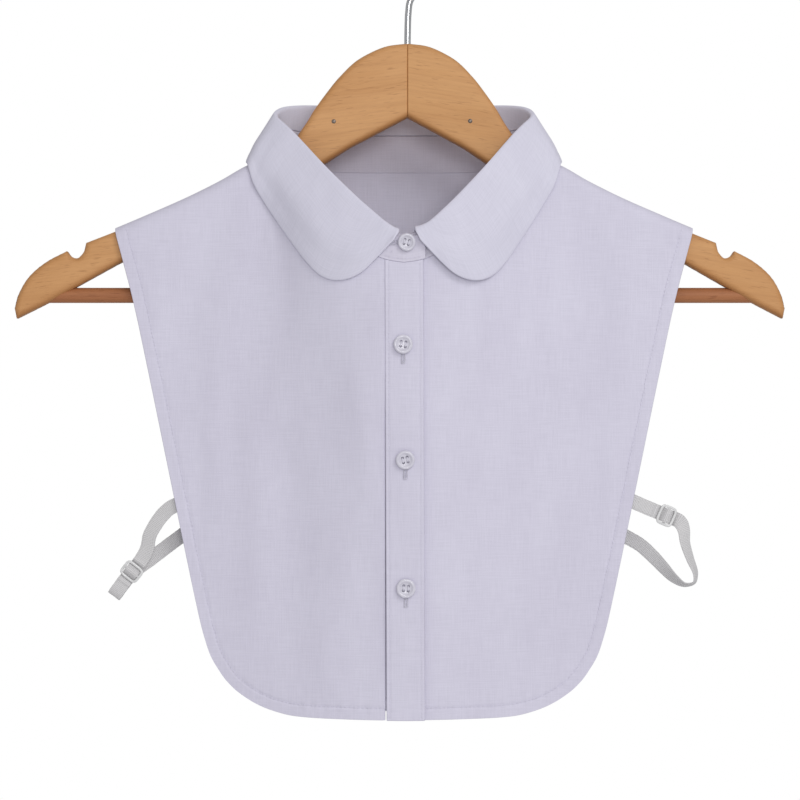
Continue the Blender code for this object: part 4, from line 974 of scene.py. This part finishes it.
def frontPlacket():
    # the front's middle strip, standing proud of it, with a dip along each topstitch and
    # soft dents where it was folded level
    edges = acrossAt("front", body["placketHalf"], downRows)
    spread = spans((-1.0, -0.72, 9), (-0.72, 0.72, 16), (0.72, 1.0, 9))
    down = downRows[:, None] + 0 * spread[None]
    grid = panelSigned("front", edges[:, None] * spread[None], down)
    x, drop = grid[..., 0].copy(), grid[..., 2]
    grid[..., 0] += body["placketDrift"] * down
    inside = body["placketHalf"] - np.abs(x)
    wave = np.sin(2 * math.pi * drop / placket["puckerLength"] + np.sin(drop / 31.0) + np.where(x < 0, 0.0, 1.9))
    relief = -placket["dip"] * bell(inside - placket["topstitch"], 0.55)
    relief = relief + 0.05 * wave * bell(inside - placket["topstitch"], 1.6)
    for level, rise, width, slope in placket["creases"]:
        relief = relief + rise * bell(drop - level - slope * x, width)
        relief = relief - 0.5 * rise * bell(drop - level - slope * x - 2.2 * width, 1.6 * width)
    relief = relief + 0.25 * np.sin(drop / 17.0) * bell(x, 9.0)
    for _, drop0, _ in buttons["rows"]:
        relief = relief - 0.12 * bell(np.hypot(x, drop - drop0), 7.0)
    face, back = toWorld(grid), toWorld(grid)
    face[..., 1] -= body["placketProud"] + relief
    back[..., 1] += placket["wall"] - body["placketProud"]
    flat = np.stack([x + 400.0, drop], axis=-1)
    piece = wallPiece("frontPlacket", face, back, flat, panelCotton, "cotton_double", "placket", 0.35)
    normals = gridNormals(face)
    normals = normals[2:-2, len(spread) // 2] * -np.sign(normals[..., 1].sum())
    groups = []
    for side in (-1.0, 1.0):
        wanted = side * (body["placketHalf"] - placket["topstitch"])
        rows = zip(x[2:-2], face[2:-2])
        line = np.array([[np.interp(wanted, places, row[:, axis]) for axis in range(3)] for places, row in rows])
        groups.append(stitchesOn(line, normals, 2.3, 1.7, 0.08))
    threadRow("placketStitches", gathered(groups), 0.14, threadCotton, "cotton_double")
    return piece, {"face": face, "x": x, "drop": drop}


placketPiece, placketMade = frontPlacket()


def placketDepth(x, drop):
    # the placket's outer depth at a place, read from its grid
    row = int(np.abs(placketMade["drop"].mean(axis=1) - drop).argmin())
    return float(np.interp(x, placketMade["x"][row], placketMade["face"][row, :, 1]))


def satinHole(x, y, drop, upright):
    # A sewn buttonhole: short stitches across both lips of the slit, and a bar of longer
    # ones over each end.
    reach = buttons["slit"] / 2
    along = np.arange(-reach, reach + 0.01, 0.34)
    bar = np.array([-0.9, -0.6, -0.3, 0.3, 0.6, 0.9]) + np.repeat([-reach, reach], 3)
    along = np.concatenate([along, along, bar])
    aside = np.concatenate([np.repeat([-0.75, 0.75], (len(along) - 6) // 2), np.zeros(6)])
    lengths = np.where(aside == 0.0, 2.7, 1.2)
    across, downwards = (aside, along) if upright else (along, aside)
    points = np.stack([x + across, y + 0 * across, drop + downwards], axis=-1)
    way = [1.0, 0.0, 0.0] if upright else [0.0, 0.0, 1.0]
    return toWorld(points), np.tile(way, (len(points), 1)), np.tile([0.0, -1.0, 0.0], (len(points), 1)), lengths


def sewnHoles():
    # the placket's buttonholes run down from their buttons, and the stand's runs level
    groups = [satinHole(x, placketDepth(x, drop + 4.0) - 0.12, drop + 4.0, True) for x, drop, _ in buttons["rows"]]
    x, drop, _ = buttons["collar"]
    groups.append(satinHole(x - 2.5, buttons["collarFace"] - 0.1, drop + 0.3, False))
    threadRow("buttonholes", gathered(groups), 0.16, threadCotton, "cotton_double")


def drilledButton():
    # the button's turned shape with four round holes cut through it, as a mesh at the origin
    points, faces = turnedShape(buttons["profile"], 72)
    master = meshObject("buttonMaster", points, faces, buttonPlastic)
    reach = buttons["spread"]
    cutters = []
    for x, z in ((-reach, -reach), (-reach, reach), (reach, -reach), (reach, reach)):
        points, faces = turnedShape([(buttons["hole"], 6.0), (buttons["hole"], -4.0)], 24)
        cutters.append(meshObject("holeCutter", points + np.array([x, 0.0, z]), faces, buttonPlastic))
        master.modifiers.new("hole", "BOOLEAN").object = cutters[-1]
    bpy.context.view_layer.update()
    drilled = bpy.data.meshes.new_from_object(master.evaluated_get(bpy.context.evaluated_depsgraph_get()))
    for helper in cutters + [master]:
        bpy.data.objects.remove(helper, do_unlink=True)
    return drilled


def shirtButtons():
    # The drilled button is copied to each place with its own turn and a slight lean. Two
    # bars of three threads pass over its holes, and a short shank of thread stands behind.
    drilled = drilledButton()
    points = np.empty(len(drilled.vertices) * 3)
    drilled.vertices.foreach_get("co", points)
    points = points.reshape(-1, 3)
    places = [(*buttons["collar"], buttons["collarFace"])]
    places += [(x, drop, turn, placketDepth(x, drop)) for x, drop, turn in buttons["rows"]]
    centres, ways, ups, shanks = [], [], [], []
    for number, (x, drop, turn, depth) in enumerate(places, start=1):
        angle, lean = math.radians(turn), math.radians(buttons["lean"][number - 1])
        spin = np.array([[math.cos(angle), 0, math.sin(angle)], [0, 1, 0], [-math.sin(angle), 0, math.cos(angle)]])
        tip = np.array([[1, 0, 0], [0, math.cos(lean), -math.sin(lean)], [0, math.sin(lean), math.cos(lean)]])
        turned = tip @ spin
        place = np.array([x + clothShift, depth - buttons["seat"], woodTop - drop])
        copied = drilled.copy()
        size = buttons["size"][number - 1]
        copied.vertices.foreach_set("co", (size * points @ turned.T + place * mm).ravel())
        copied.shade_smooth()
        copied.set_sharp_from_angle(angle=math.radians(35))
        piece = bpy.data.objects.new("shirtButton%d" % number, copied)
        bpy.context.scene.collection.objects.link(piece)
        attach(piece, "root")
        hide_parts("button_%d" % number)
        pairs = [(side, offset) for side in (-1, 1) for offset in (-0.28, 0.0, 0.28)]
        strands = [(side * buttons["spread"] + offset, -1.55, 0.0) for side, offset in pairs]
        centres.append(np.array(strands) @ turned.T + place)
        ways.append(np.tile(turned @ [0.0, 0.0, 1.0], (6, 1)))
        ups.append(np.tile(turned @ [0.0, -1.0, 0.0], (6, 1)))
        shanks.append((place[0], place[1] + 0.2, place[2]))
    stitches = np.vstack(centres), np.vstack(ways), np.vstack(ups), np.full(24, 3.3)
    threadRow("buttonThreads", stitches, 0.2, threadCotton, "button_plastic")
    shankProfile = [(0.9, 0.6), (1.1, 0.3), (1.2, -0.5), (0.8, -0.7)]
    turnedRow("buttonShanks", shanks, shankProfile, 16, threadCotton, "button_plastic")


sewnHoles()
shirtButtons()
print("placket and buttons done")


# The collar's stand

stand = {"half": 0.7, "rows": 17, "stitchUp": 1.7, "dip": 0.16}


def rollCurve(where):
    # the top of the fold, raised a little at the under end
    curve = mirroredCurve(sectionKnots, rollRows, np.clip(where, -lastSection, lastSection))
    curve[..., 2] -= collar["underRise"] * smoothStep((where - lastSection + 2.5) / 2.5)
    return curve


def legLength(where):
    legs = np.array(tableColumns[9])[:, None]
    return through(sectionKnots, legs, np.clip(np.abs(where), 0, lastSection))[..., 0]


def outwardWay(where):
    # level unit vectors out of the collar's ring, square to the neck seam
    way = neckSeam(where + 0.05) - neckSeam(where - 0.05)
    side = np.stack([way[..., 1], -way[..., 0], 0 * way[..., 0]], axis=-1)
    return unit(side) * np.sign((side * neckSeam(where)).sum(axis=-1, keepdims=True))


def underAmount(where):
    # 1 where the collar's left end runs inside the right end
    return smoothStep((where - (lastSection - 4.5)) / 3.5)


def standTop(where):
    # the stand's upper edge lies below the roll by the height of the leaf's inner leg
    def edgeAt(place):
        roll = rollCurve(place)
        return roll - unit(roll - neckSeam(place)) * legLength(place)[..., None]

    last = np.sign(where) * lastSection
    lastEdge = edgeAt(last)
    lastEdge[..., 0] = neckSeam(last)[..., 0]
    straight = neckSeam(where) + lastEdge - neckSeam(last)
    return np.where((np.abs(where) <= lastSection)[..., None], edgeAt(where), straight)


def collarStand():
    # The ring runs from the under end at the front round the back to the upper end, as a
    # ruled wall between the neck seam and the stand's top, dipped along its seam's stitches.
    where = np.concatenate([
        np.linspace(collar["underEnd"], lastSection, 36)[:-1],
        np.linspace(lastSection, -lastSection, 330),
        np.linspace(-lastSection, collar["overEnd"], 40)[1:],
    ])
    out = outwardWay(where)
    under = out * (collar["underStep"] * underAmount(where))[:, None]
    seam = neckSeam(where) - under
    top = standTop(where) - under
    seam = seam + unit(top - seam) * collar["standLift"]
    steps = np.linspace(0.0, 1.0, stand["rows"])[None, :]
    middle = seam[:, None] * (1 - steps[..., None]) + top[:, None] * steps[..., None]
    height = np.linalg.norm(top - seam, axis=1)
    # both ends are rounded off at their top corners by a quarter round, the upper end more
    for end, span, share in ((collar["overEnd"], 0.95, 1.0), (collar["underEnd"], 0.6, 0.6)):
        near = np.clip(1.0 - np.abs(where - end) / span, 0.0, 1.0)
        fall = share * collar["endCorner"] * (1.0 - np.sqrt(1.0 - near**2))
        middle[..., 2] += fall[:, None] * steps**2
    placed = toWorld(middle)
    normals = gridNormals(placed)
    normals = normals * np.sign((normals[:, 0] * out).sum())
    up = steps * height[:, None]
    run = runOf(placed[:, 0])[:, None]
    wave = np.sin(run / 1.05 + np.sin(run / 19.0))
    relief = -stand["dip"] * bell(up - stand["stitchUp"], 0.6) + 0.05 * wave * bell(up - stand["stitchUp"], 2.0)
    relief = relief + 0.12 * np.sin(run / 9.0) * np.sin(math.pi * steps)
    outer = placed + normals * (stand["half"] + relief)[..., None]
    inner = placed - normals * (stand["half"] + 0.5 * relief)[..., None]
    flat = np.stack([run + 0 * up + 700.0, up], axis=-1)
    piece = wallPiece("collarStand", outer, inner, flat, standCotton, "cotton_double", "collar_stand", 0.3)
    share = (stand["stitchUp"] / height)[:, None]
    groups = []
    for grid, facing in ((outer, 1.0), (inner, -1.0)):
        line = grid[:, 0] * (1 - share) + grid[:, -1] * share
        groups.append(stitchesOn(line[3:-3], normals[3:-3, 1] * facing, 2.4, 1.8, -0.02))
    threadRow("standStitches", gathered(groups), 0.15, threadCotton, "cotton_double")
    return piece, outer, normals


standPiece, standOuter, standNormals = collarStand()


# The collar's leaf

leaf = {
    "half": 0.5,
    "gap": 0.6,  # its under side above what it lies on
    "reach": 6.0,
    "rimRise": 0.14,  # the seam allowance inside makes the border stand slightly proud
    "rimWidth": 5.5,
    "creases": [
        (-76.0, 62.0, -48.0, 118.0, 9.0, 0.35),
        (-58.0, 70.0, -30.0, 112.0, 8.0, -0.35),
        (-40.0, 96.0, -26.0, 128.0, 7.0, 0.3),
        (72.0, 66.0, 44.0, 122.0, 10.0, 0.4),
        (56.0, 74.0, 30.0, 118.0, 8.0, -0.3),
        (26.0, 108.0, 36.0, 134.0, 6.0, 0.3),
    ],
}


def leafEdge(where):
    # the leaf's outer edge, laid on the front panel where the table gives no depth
    rows = np.array([(row[6], row[7] or 0.0, row[8]) for row in collar["sections"]])
    laid = np.array([row[7] is None for row in collar["sections"]])
    across, down = np.meshgrid(np.linspace(0.0, 1.0, 160), np.linspace(0.0, 0.6, 240))
    front = panel("front", across, down).reshape(-1, 3)
    rows[laid, 1] = front[nearestOf(rows[laid][:, [0, 2]], front[:, [0, 2]]), 1] - 1.6
    knot, place = collar["curlEdge"]
    rows = np.insert(rows, collar["side"] + 1, place, axis=0)
    return mirroredCurve(np.insert(sectionKnots, collar["side"] + 1, knot), rows, where)


def leafSections(where):
    # Each section runs from the stand's top up the inner leg, round the roll and down the
    # outside to the edge, as a smooth curve through seven control points.
    seam, roll = neckSeam(where), rollCurve(where)
    rise, out, under = unit(roll - seam), outwardWay(where), underAmount(where)
    inset = out * (collar["underStep"] * under)[:, None]
    bend = (collar["leafBend"] + 0.5 * under)[:, None]
    start = roll - rise * (legLength(where)[:, None] - collar["leafLift"]) - inset
    inner = roll - inset - rise * (0.6 + bend)
    fold = roll - inset - rise * 0.6 + out * bend
    outer = inner + out * 2 * bend
    edge = leafEdge(where)
    bow = through(sectionKnots, np.array(tableColumns[10])[:, None], np.abs(where))
    spine = outer + (edge - outer) * 0.5 + out * bow
    lower = outer + (edge - outer) * 0.8 + out * 0.55 * bow
    return np.stack([start, inner, fold, outer, spine, lower, edge], axis=0)


def laidOver(points, samples, sampleNormals, furthest):
    # Points that stand less than the clearance over the nearest sample of the cloth below
    # are moved out along that sample's normal.
    shape = points.shape
    points = points.reshape(-1, 3)
    chosen = nearestOf(points, samples)
    away = points - samples[chosen]
    normals = sampleNormals[chosen]
    standing = (away * normals).sum(axis=1)
    beside = np.linalg.norm(away - standing[:, None] * normals, axis=1)
    short = leaf["half"] + leaf["gap"] - standing
    counted = (np.linalg.norm(away, axis=1) < leaf["reach"]) & (beside < 1.8) & (normals[:, 2] > -0.3)
    counted &= (short > 0) & (short < furthest)
    return (points + np.where(counted, short, 0.0)[:, None] * normals).reshape(shape)


def clothBelow():
    # the panels near the neck and the stand, as scattered points with their normals
    samples, sampleNormals = [standOuter[::2, ::3].reshape(-1, 3)], [standNormals[::2, ::3].reshape(-1, 3)]
    for made in (rightMade, leftMade, backMade):
        near = (made["drop"] < 150.0) & (np.abs(made["x"]) < 104.0)
        near[:, 1::2] = False
        samples.append(made["outer"][near])
        sampleNormals.append(made["normals"][near])
    return np.vstack(samples), np.vstack(sampleNormals)


def collarLeaf():
    # The sections' curves are laid over the cloth below and thickened both ways, a little
    # more inside the border, where the seam allowance lies, and less at the pressed edge.
    where = np.linspace(-lastSection, lastSection, 361)
    stations = spans((0.0, 0.6, 5), (0.6, 2.1, 17), (2.1, 5.5, 22), (5.5, 6.0, 8))
    middle = through(np.arange(7.0), leafSections(where), stations).transpose(1, 0, 2)
    skew = collar["leafSkew"] * smoothStep((np.abs(where) - collar["side"]) / 8.0)
    middle[..., 0] += skew[:, None] * np.clip((stations - 0.6) / 1.4, 0.0, 1.0)[None]
    placed = toWorld(middle)
    out = outwardWay(where)
    normals = gridNormals(placed)
    normals = normals * np.sign((normals[:, 30] * out).sum())
    wrinkle = creaseField(leaf["creases"], middle[..., 0], middle[..., 2]) * (middle[..., 1] < 5.0)
    placed = placed + normals * (wrinkle * smoothStep((stations - 2.2) / 1.2)[None])[..., None]
    samples, sampleNormals = clothBelow()
    first, later = np.searchsorted(stations, [2.3, 4.8])
    before = placed.copy()
    for passes in (6, 4, 2, 1):
        placed[:, first:later] = laidOver(placed[:, first:later], samples, sampleNormals, leaf["reach"] / 2)
        placed[:, later:] = laidOver(placed[:, later:], samples, sampleNormals, leaf["reach"])
        push = placed - before
        for _ in range(passes):
            push[1:-1] = (push[:-2] + 2 * push[1:-1] + push[2:]) / 4
            push[:, 1:-1] = (push[:, :-2] + 2 * push[:, 1:-1] + push[:, 2:]) / 4
        placed = before + push
    normals = gridNormals(placed)
    normals = normals * np.sign((normals[:, 30] * out).sum())
    lengths = np.linalg.norm(np.diff(placed, axis=1), axis=2)
    toEdge = np.concatenate([np.cumsum(lengths[:, ::-1], axis=1)[:, ::-1], np.zeros((len(where), 1))], axis=1)
    toEnd = runOf(placed[:, -1])
    toEnd = np.minimum(toEnd, toEnd[-1] - toEnd)[:, None]
    border = np.minimum(toEdge, toEnd)
    rim = leaf["rimRise"] * smoothStep((leaf["rimWidth"] + 0.8 - border) / 1.6)
    pressed = 0.22 * bell(border, 0.7)
    outer = placed + normals * (leaf["half"] + rim - pressed)[..., None]
    inner = placed - normals * (leaf["half"] - pressed)[..., None]
    flat = np.stack([runOf(placed[:, 26])[:, None] + 0 * toEdge + 1200.0, toEdge], axis=-1)
    return wallPiece("collarLeaf", outer, inner, flat, leafCotton, "cotton_double", "collar_leaf", 0.3)


leafPiece = collarLeaf()
print("collar done")


# The elastic tapes and their sliders

tapes = {
    "width": 8.0,
    "thickness": 0.9,
    "cord": 1.3,  # spacing of the cords that run along the tape
    "weave": 1.6,
    "sliderBar": 1.5,
    "sliderHalf": 5.0,
    "sliderThickness": 1.3,
    "stitchRows": (8, 18),  # counted from each end of the tape's line
    "stitchLength": 0.85,
    # x from the collar's middle, y, drop, and the turn from lying flat in degrees
    "left": [
        (-119.0, 7.4, 275.4, 8), (-126.5, 6.6, 282.6, 8), (-137.0, 5.0, 290.6, 6), (-147.0, 3.4, 298.2, 4),
        (-157.0, 2.4, 305.6, 0), (-163.0, 1.6, 312.6, 0), (-166.6, 0.2, 317.6, 0), (-167.8, -1.6, 319.2, 0),
        (-166.2, -3.2, 317.0, 0), (-162.6, -3.4, 312.0, 0), (-157.4, -3.4, 305.2, 0), (-152.0, -3.4, 298.6, 0),
        (-148.4, -3.9, 291.6, 8), (-147.0, -4.8, 284.6, 12), (-143.6, -5.2, 278.2, 10), (-139.4, -5.6, 272.4, 6),
        (-134.4, -6.7, 268.0, 4), (-127.4, -7.6, 265.2, 2), (-120.4, -7.8, 264.6, 0),
    ],
    "right": [
        (121.0, -7.8, 259.0, 0), (131.0, -7.2, 264.0, 0), (139.6, -5.6, 267.8, 0), (146.6, -5.2, 270.7, 0),
        (153.0, -5.2, 273.4, 0), (158.9, -5.2, 276.0, 0), (161.6, -4.6, 280.9, 24), (162.6, -3.6, 288.6, 42),
        (165.6, -2.6, 298.0, 54), (168.8, -1.6, 306.4, 66), (168.0, 0.6, 311.8, 74), (162.8, 2.6, 313.0, 70),
        (156.6, 4.0, 309.4, 52), (150.6, 4.8, 303.2, 34), (145.2, 5.6, 297.4, 22), (137.8, 6.4, 290.6, 14),
        (130.4, 7.0, 286.2, 8), (121.4, 7.4, 281.6, 4),
    ],
    "sliderAt": {"left": (-157.4, 305.2), "right": (151.6, 272.8)},
}


def tapeLine(side):
    # the tape's middle line, swung by a fading cosine past the slider's bars
    squash = np.array([1.0, 1.0, 1.0, 0.2])
    fine = byLength(np.array(tapes[side]) * squash, np.linspace(0.0, 1.0, 1400)) / squash
    run = runOf(fine[:, :3])
    x, drop = tapes["sliderAt"][side]
    here = int(np.argmin(np.hypot(fine[:, 0] - x, fine[:, 2] - drop) + 100.0 * (fine[:, 1] > 0)))
    along = run - run[here]
    fade = 1.0 - smoothStep((np.abs(along) - 5.6) / 3.4)
    centre = fine[here, :3].copy()
    heading = fine[here + 12, :3] - fine[here - 12, :3]
    fine[:, 1] -= tapes["weave"] * np.cos(math.pi * along / (tapes["sliderHalf"] - tapes["sliderBar"] / 2)) * fade
    return readLine(fine, run, np.linspace(0.0, run[-1], 420)), centre, heading


def tapeSlider(side, centre, heading):
    # A moulded frame: a squarish bar section carried round a superellipse, which is a
    # rectangle with round corners, and a straight middle bar that runs into both sides.
    bar = tapes["sliderBar"]
    halfX, halfZ = tapes["width"] / 2 + 0.5 + bar / 2, tapes["sliderHalf"] - bar / 2
    around = np.linspace(0.0, 2 * math.pi, 96, endpoint=False)
    angle = np.linspace(0.0, 2 * math.pi, 16, endpoint=False)

    def squared(values, power):
        return np.sign(values) * np.abs(values) ** power

    loop = np.stack([halfX * squared(np.cos(around), 0.4), 0 * around, halfZ * squared(np.sin(around), 0.4)], axis=-1)
    outwards = np.cross(unit(np.roll(loop, -1, axis=0) - np.roll(loop, 1, axis=0)), [0.0, 1.0, 0.0])
    wide = bar / 2 * squared(np.cos(angle), 0.6)
    thick = tapes["sliderThickness"] / 2 * squared(np.sin(angle), 0.6)
    lifted = thick[None, :, None] * np.array([0.0, 1.0, 0.0])
    rings = (loop[:, None] + wide[None, :, None] * outwards[:, None] + lifted).reshape(-1, 3)
    index = np.arange(96 * 16).reshape(96, 16)
    index = np.concatenate([index, index[:1]], axis=0)
    ringQuads = facedOutwards(rings, gridFaces(np.concatenate([index, index[:, :1]], axis=1)))
    along = np.linspace(-halfX, halfX, 12)[:, None] + 0 * angle[None]
    middle = np.stack([along, 0 * along + thick[None], 0 * along + 0.95 * wide[None]], axis=-1).reshape(-1, 3)
    middleQuads = facedOutwards(middle, ringFaces(12, 16))
    turn = math.atan2(heading[0], -heading[2])
    spin = np.array([[math.cos(turn), 0, math.sin(turn)], [0, 1, 0], [-math.sin(turn), 0, math.cos(turn)]])
    points = np.concatenate([rings, middle]) @ spin.T + toWorld(centre)
    faces = np.concatenate([ringQuads, middleQuads + len(rings)])
    name = "tapeSlider" + side.capitalize()
    putPiece(name, points, faces, sliderPlastic, "slider_plastic", "slider_" + side, sharp=50)


def sideTape(side):
    # a flat tape along its line, whose faces carry low cords, with two rows of stitches
    # across each end that hold it to its panel
    line, centre, heading = tapeLine(side)
    middle = toWorld(line[:, :3])
    way = unit(np.gradient(middle, axis=0))
    flat = unit(np.cross(way, [0.0, 1.0, 0.0]))
    twist = np.radians(line[:, 3])[:, None]
    width = np.cos(twist) * flat + np.sin(twist) * np.cross(flat, way)
    depth = unit(np.cross(width, way))
    spread = np.linspace(-0.5, 0.5, 25)[None] * tapes["width"]
    run = runOf(middle)[:, None]
    uneven = 1.0 + 0.006 * np.sin(run * 2.1) + 0.006 * np.sin(run * 0.9)
    grid = middle[:, None] + (spread * uneven)[..., None] * width[:, None]
    cords = 0.06 * np.cos(2 * math.pi * spread / tapes["cord"]) - 0.18 * bell(4.0 - np.abs(spread), 0.5)
    offset = depth[:, None] * (tapes["thickness"] / 2 + cords + 0 * run)[..., None]
    flatMap = np.stack([run + 0 * spread, spread + 0 * run], axis=-1)
    name = "sideTape" + side.capitalize()
    wallPiece(name, grid + offset, grid - offset, flatMap, elasticTape, "elastic", "strap_" + side, 0.15)
    tapeSlider(side, centre, heading)
    across = spread[0, 2:-2:3, None]
    groups = []
    near, far = tapes["stitchRows"]
    for row in (near, far, len(line) - 1 - far, len(line) - 1 - near):
        for facing in (1.0, -1.0):
            centres = middle[row] + across * width[row] + facing * depth[row] * (tapes["thickness"] / 2 + 0.05)
            shape = (len(across), 1)
            facings, lengths = np.tile(facing * depth[row], shape), np.full(len(across), tapes["stitchLength"])
            groups.append((centres, np.tile(width[row], shape), facings, lengths))
    threadRow("tapeStitches" + side.capitalize(), gathered(groups), 0.14, threadCotton, "elastic")
    return run[-1, 0]


tapeLengths = [round(sideTape(side), 1) for side in ("left", "right")]
print("tapes done, lengths", *tapeLengths)
# Floor, light and camera

studio = {
    "ambient": 0.47,
    "keyPower": 22.0,
    "keyPlace": (1.4, -2.1, 1.3),
    "keySize": 1.4,
    "fillPower": 9.2,
    "fillPlace": (0.2, -2.0, 0.1),
    "fillSize": 0.7,
    "aim": (0.0, 0.0, -0.27),
    "floorHeight": -0.95,
    "floorHalf": 2.2,
    "cameraPlace": (-0.0043, -1.5, -0.272),
    "lens": 116.5,
    "sensorWidth": 36.0,
}


def paleFloor():
    half, height = studio["floorHalf"], studio["floorHeight"]
    mesh = bpy.data.meshes.new("paleFloor")
    corners = [(-half, -half, height), (half, -half, height), (half, half, height), (-half, half, height)]
    mesh.from_pydata(corners, [], [(0, 1, 2, 3)])
    made, nodes, links, shader = newFinish("floorFinish", (0.86, 0.86, 0.87), 0.8)
    fleck = noise(nodes, links, mapped(nodes, links, "object", (1.0, 1.0, 1.0)), 18.0, 3.0)
    stops = [(0.3, (0.84, 0.84, 0.85)), (0.7, (0.88, 0.88, 0.89))]
    links.new(ramp(nodes, links, fleck, stops), shader.inputs["Base Color"])
    mesh.materials.append(made)
    floor = bpy.data.objects.new("paleFloor", mesh)
    bpy.context.scene.collection.objects.link(floor)


def areaLight(name, place, size, power):
    # a disc of light whose own -Z axis is turned to the aim
    light = bpy.data.lights.new(name, "AREA")
    light.shape = "DISK"
    light.size = size
    light.energy = power
    lamp = bpy.data.objects.new(name, light)
    lamp.location = place
    dx, dy, dz = (studio["aim"][axis] - place[axis] for axis in range(3))
    lamp.rotation_euler = (math.acos(-dz / math.sqrt(dx * dx + dy * dy + dz * dz)), 0.0, math.atan2(-dx, dy))
    bpy.context.scene.collection.objects.link(lamp)


def studioAir():
    # the backdrop is white to the camera and dimmer as a light
    world = bpy.data.worlds.new("studioAir")
    world.use_nodes = True
    nodes, links = world.node_tree.nodes, world.node_tree.links
    nodes["Background"].inputs["Color"].default_value = (1.0, 1.0, 1.0, 1.0)
    seen = nodes.new("ShaderNodeLightPath").outputs["Is Camera Ray"]
    strength = combine(nodes, links, "MULTIPLY_ADD", seen, 1.0 - studio["ambient"], studio["ambient"])
    links.new(strength, nodes["Background"].inputs["Strength"])
    bpy.context.scene.world = world


def frontCamera():
    lens = bpy.data.cameras.new("frontCamera")
    lens.lens = studio["lens"]
    lens.sensor_width = studio["sensorWidth"]
    camera = bpy.data.objects.new("frontCamera", lens)
    camera.location = studio["cameraPlace"]
    camera.rotation_euler = (math.pi / 2, 0.0, 0.0)
    bpy.context.scene.collection.objects.link(camera)
    bpy.context.scene.camera = camera


bpy.context.scene.view_settings.view_transform = "Standard"
paleFloor()
areaLight("keyLight", studio["keyPlace"], studio["keySize"], studio["keyPower"])
areaLight("fillLight", studio["fillPlace"], studio["fillSize"], studio["fillPower"])
studioAir()
frontCamera()
bpy.context.view_layer.update()

print("scene done")
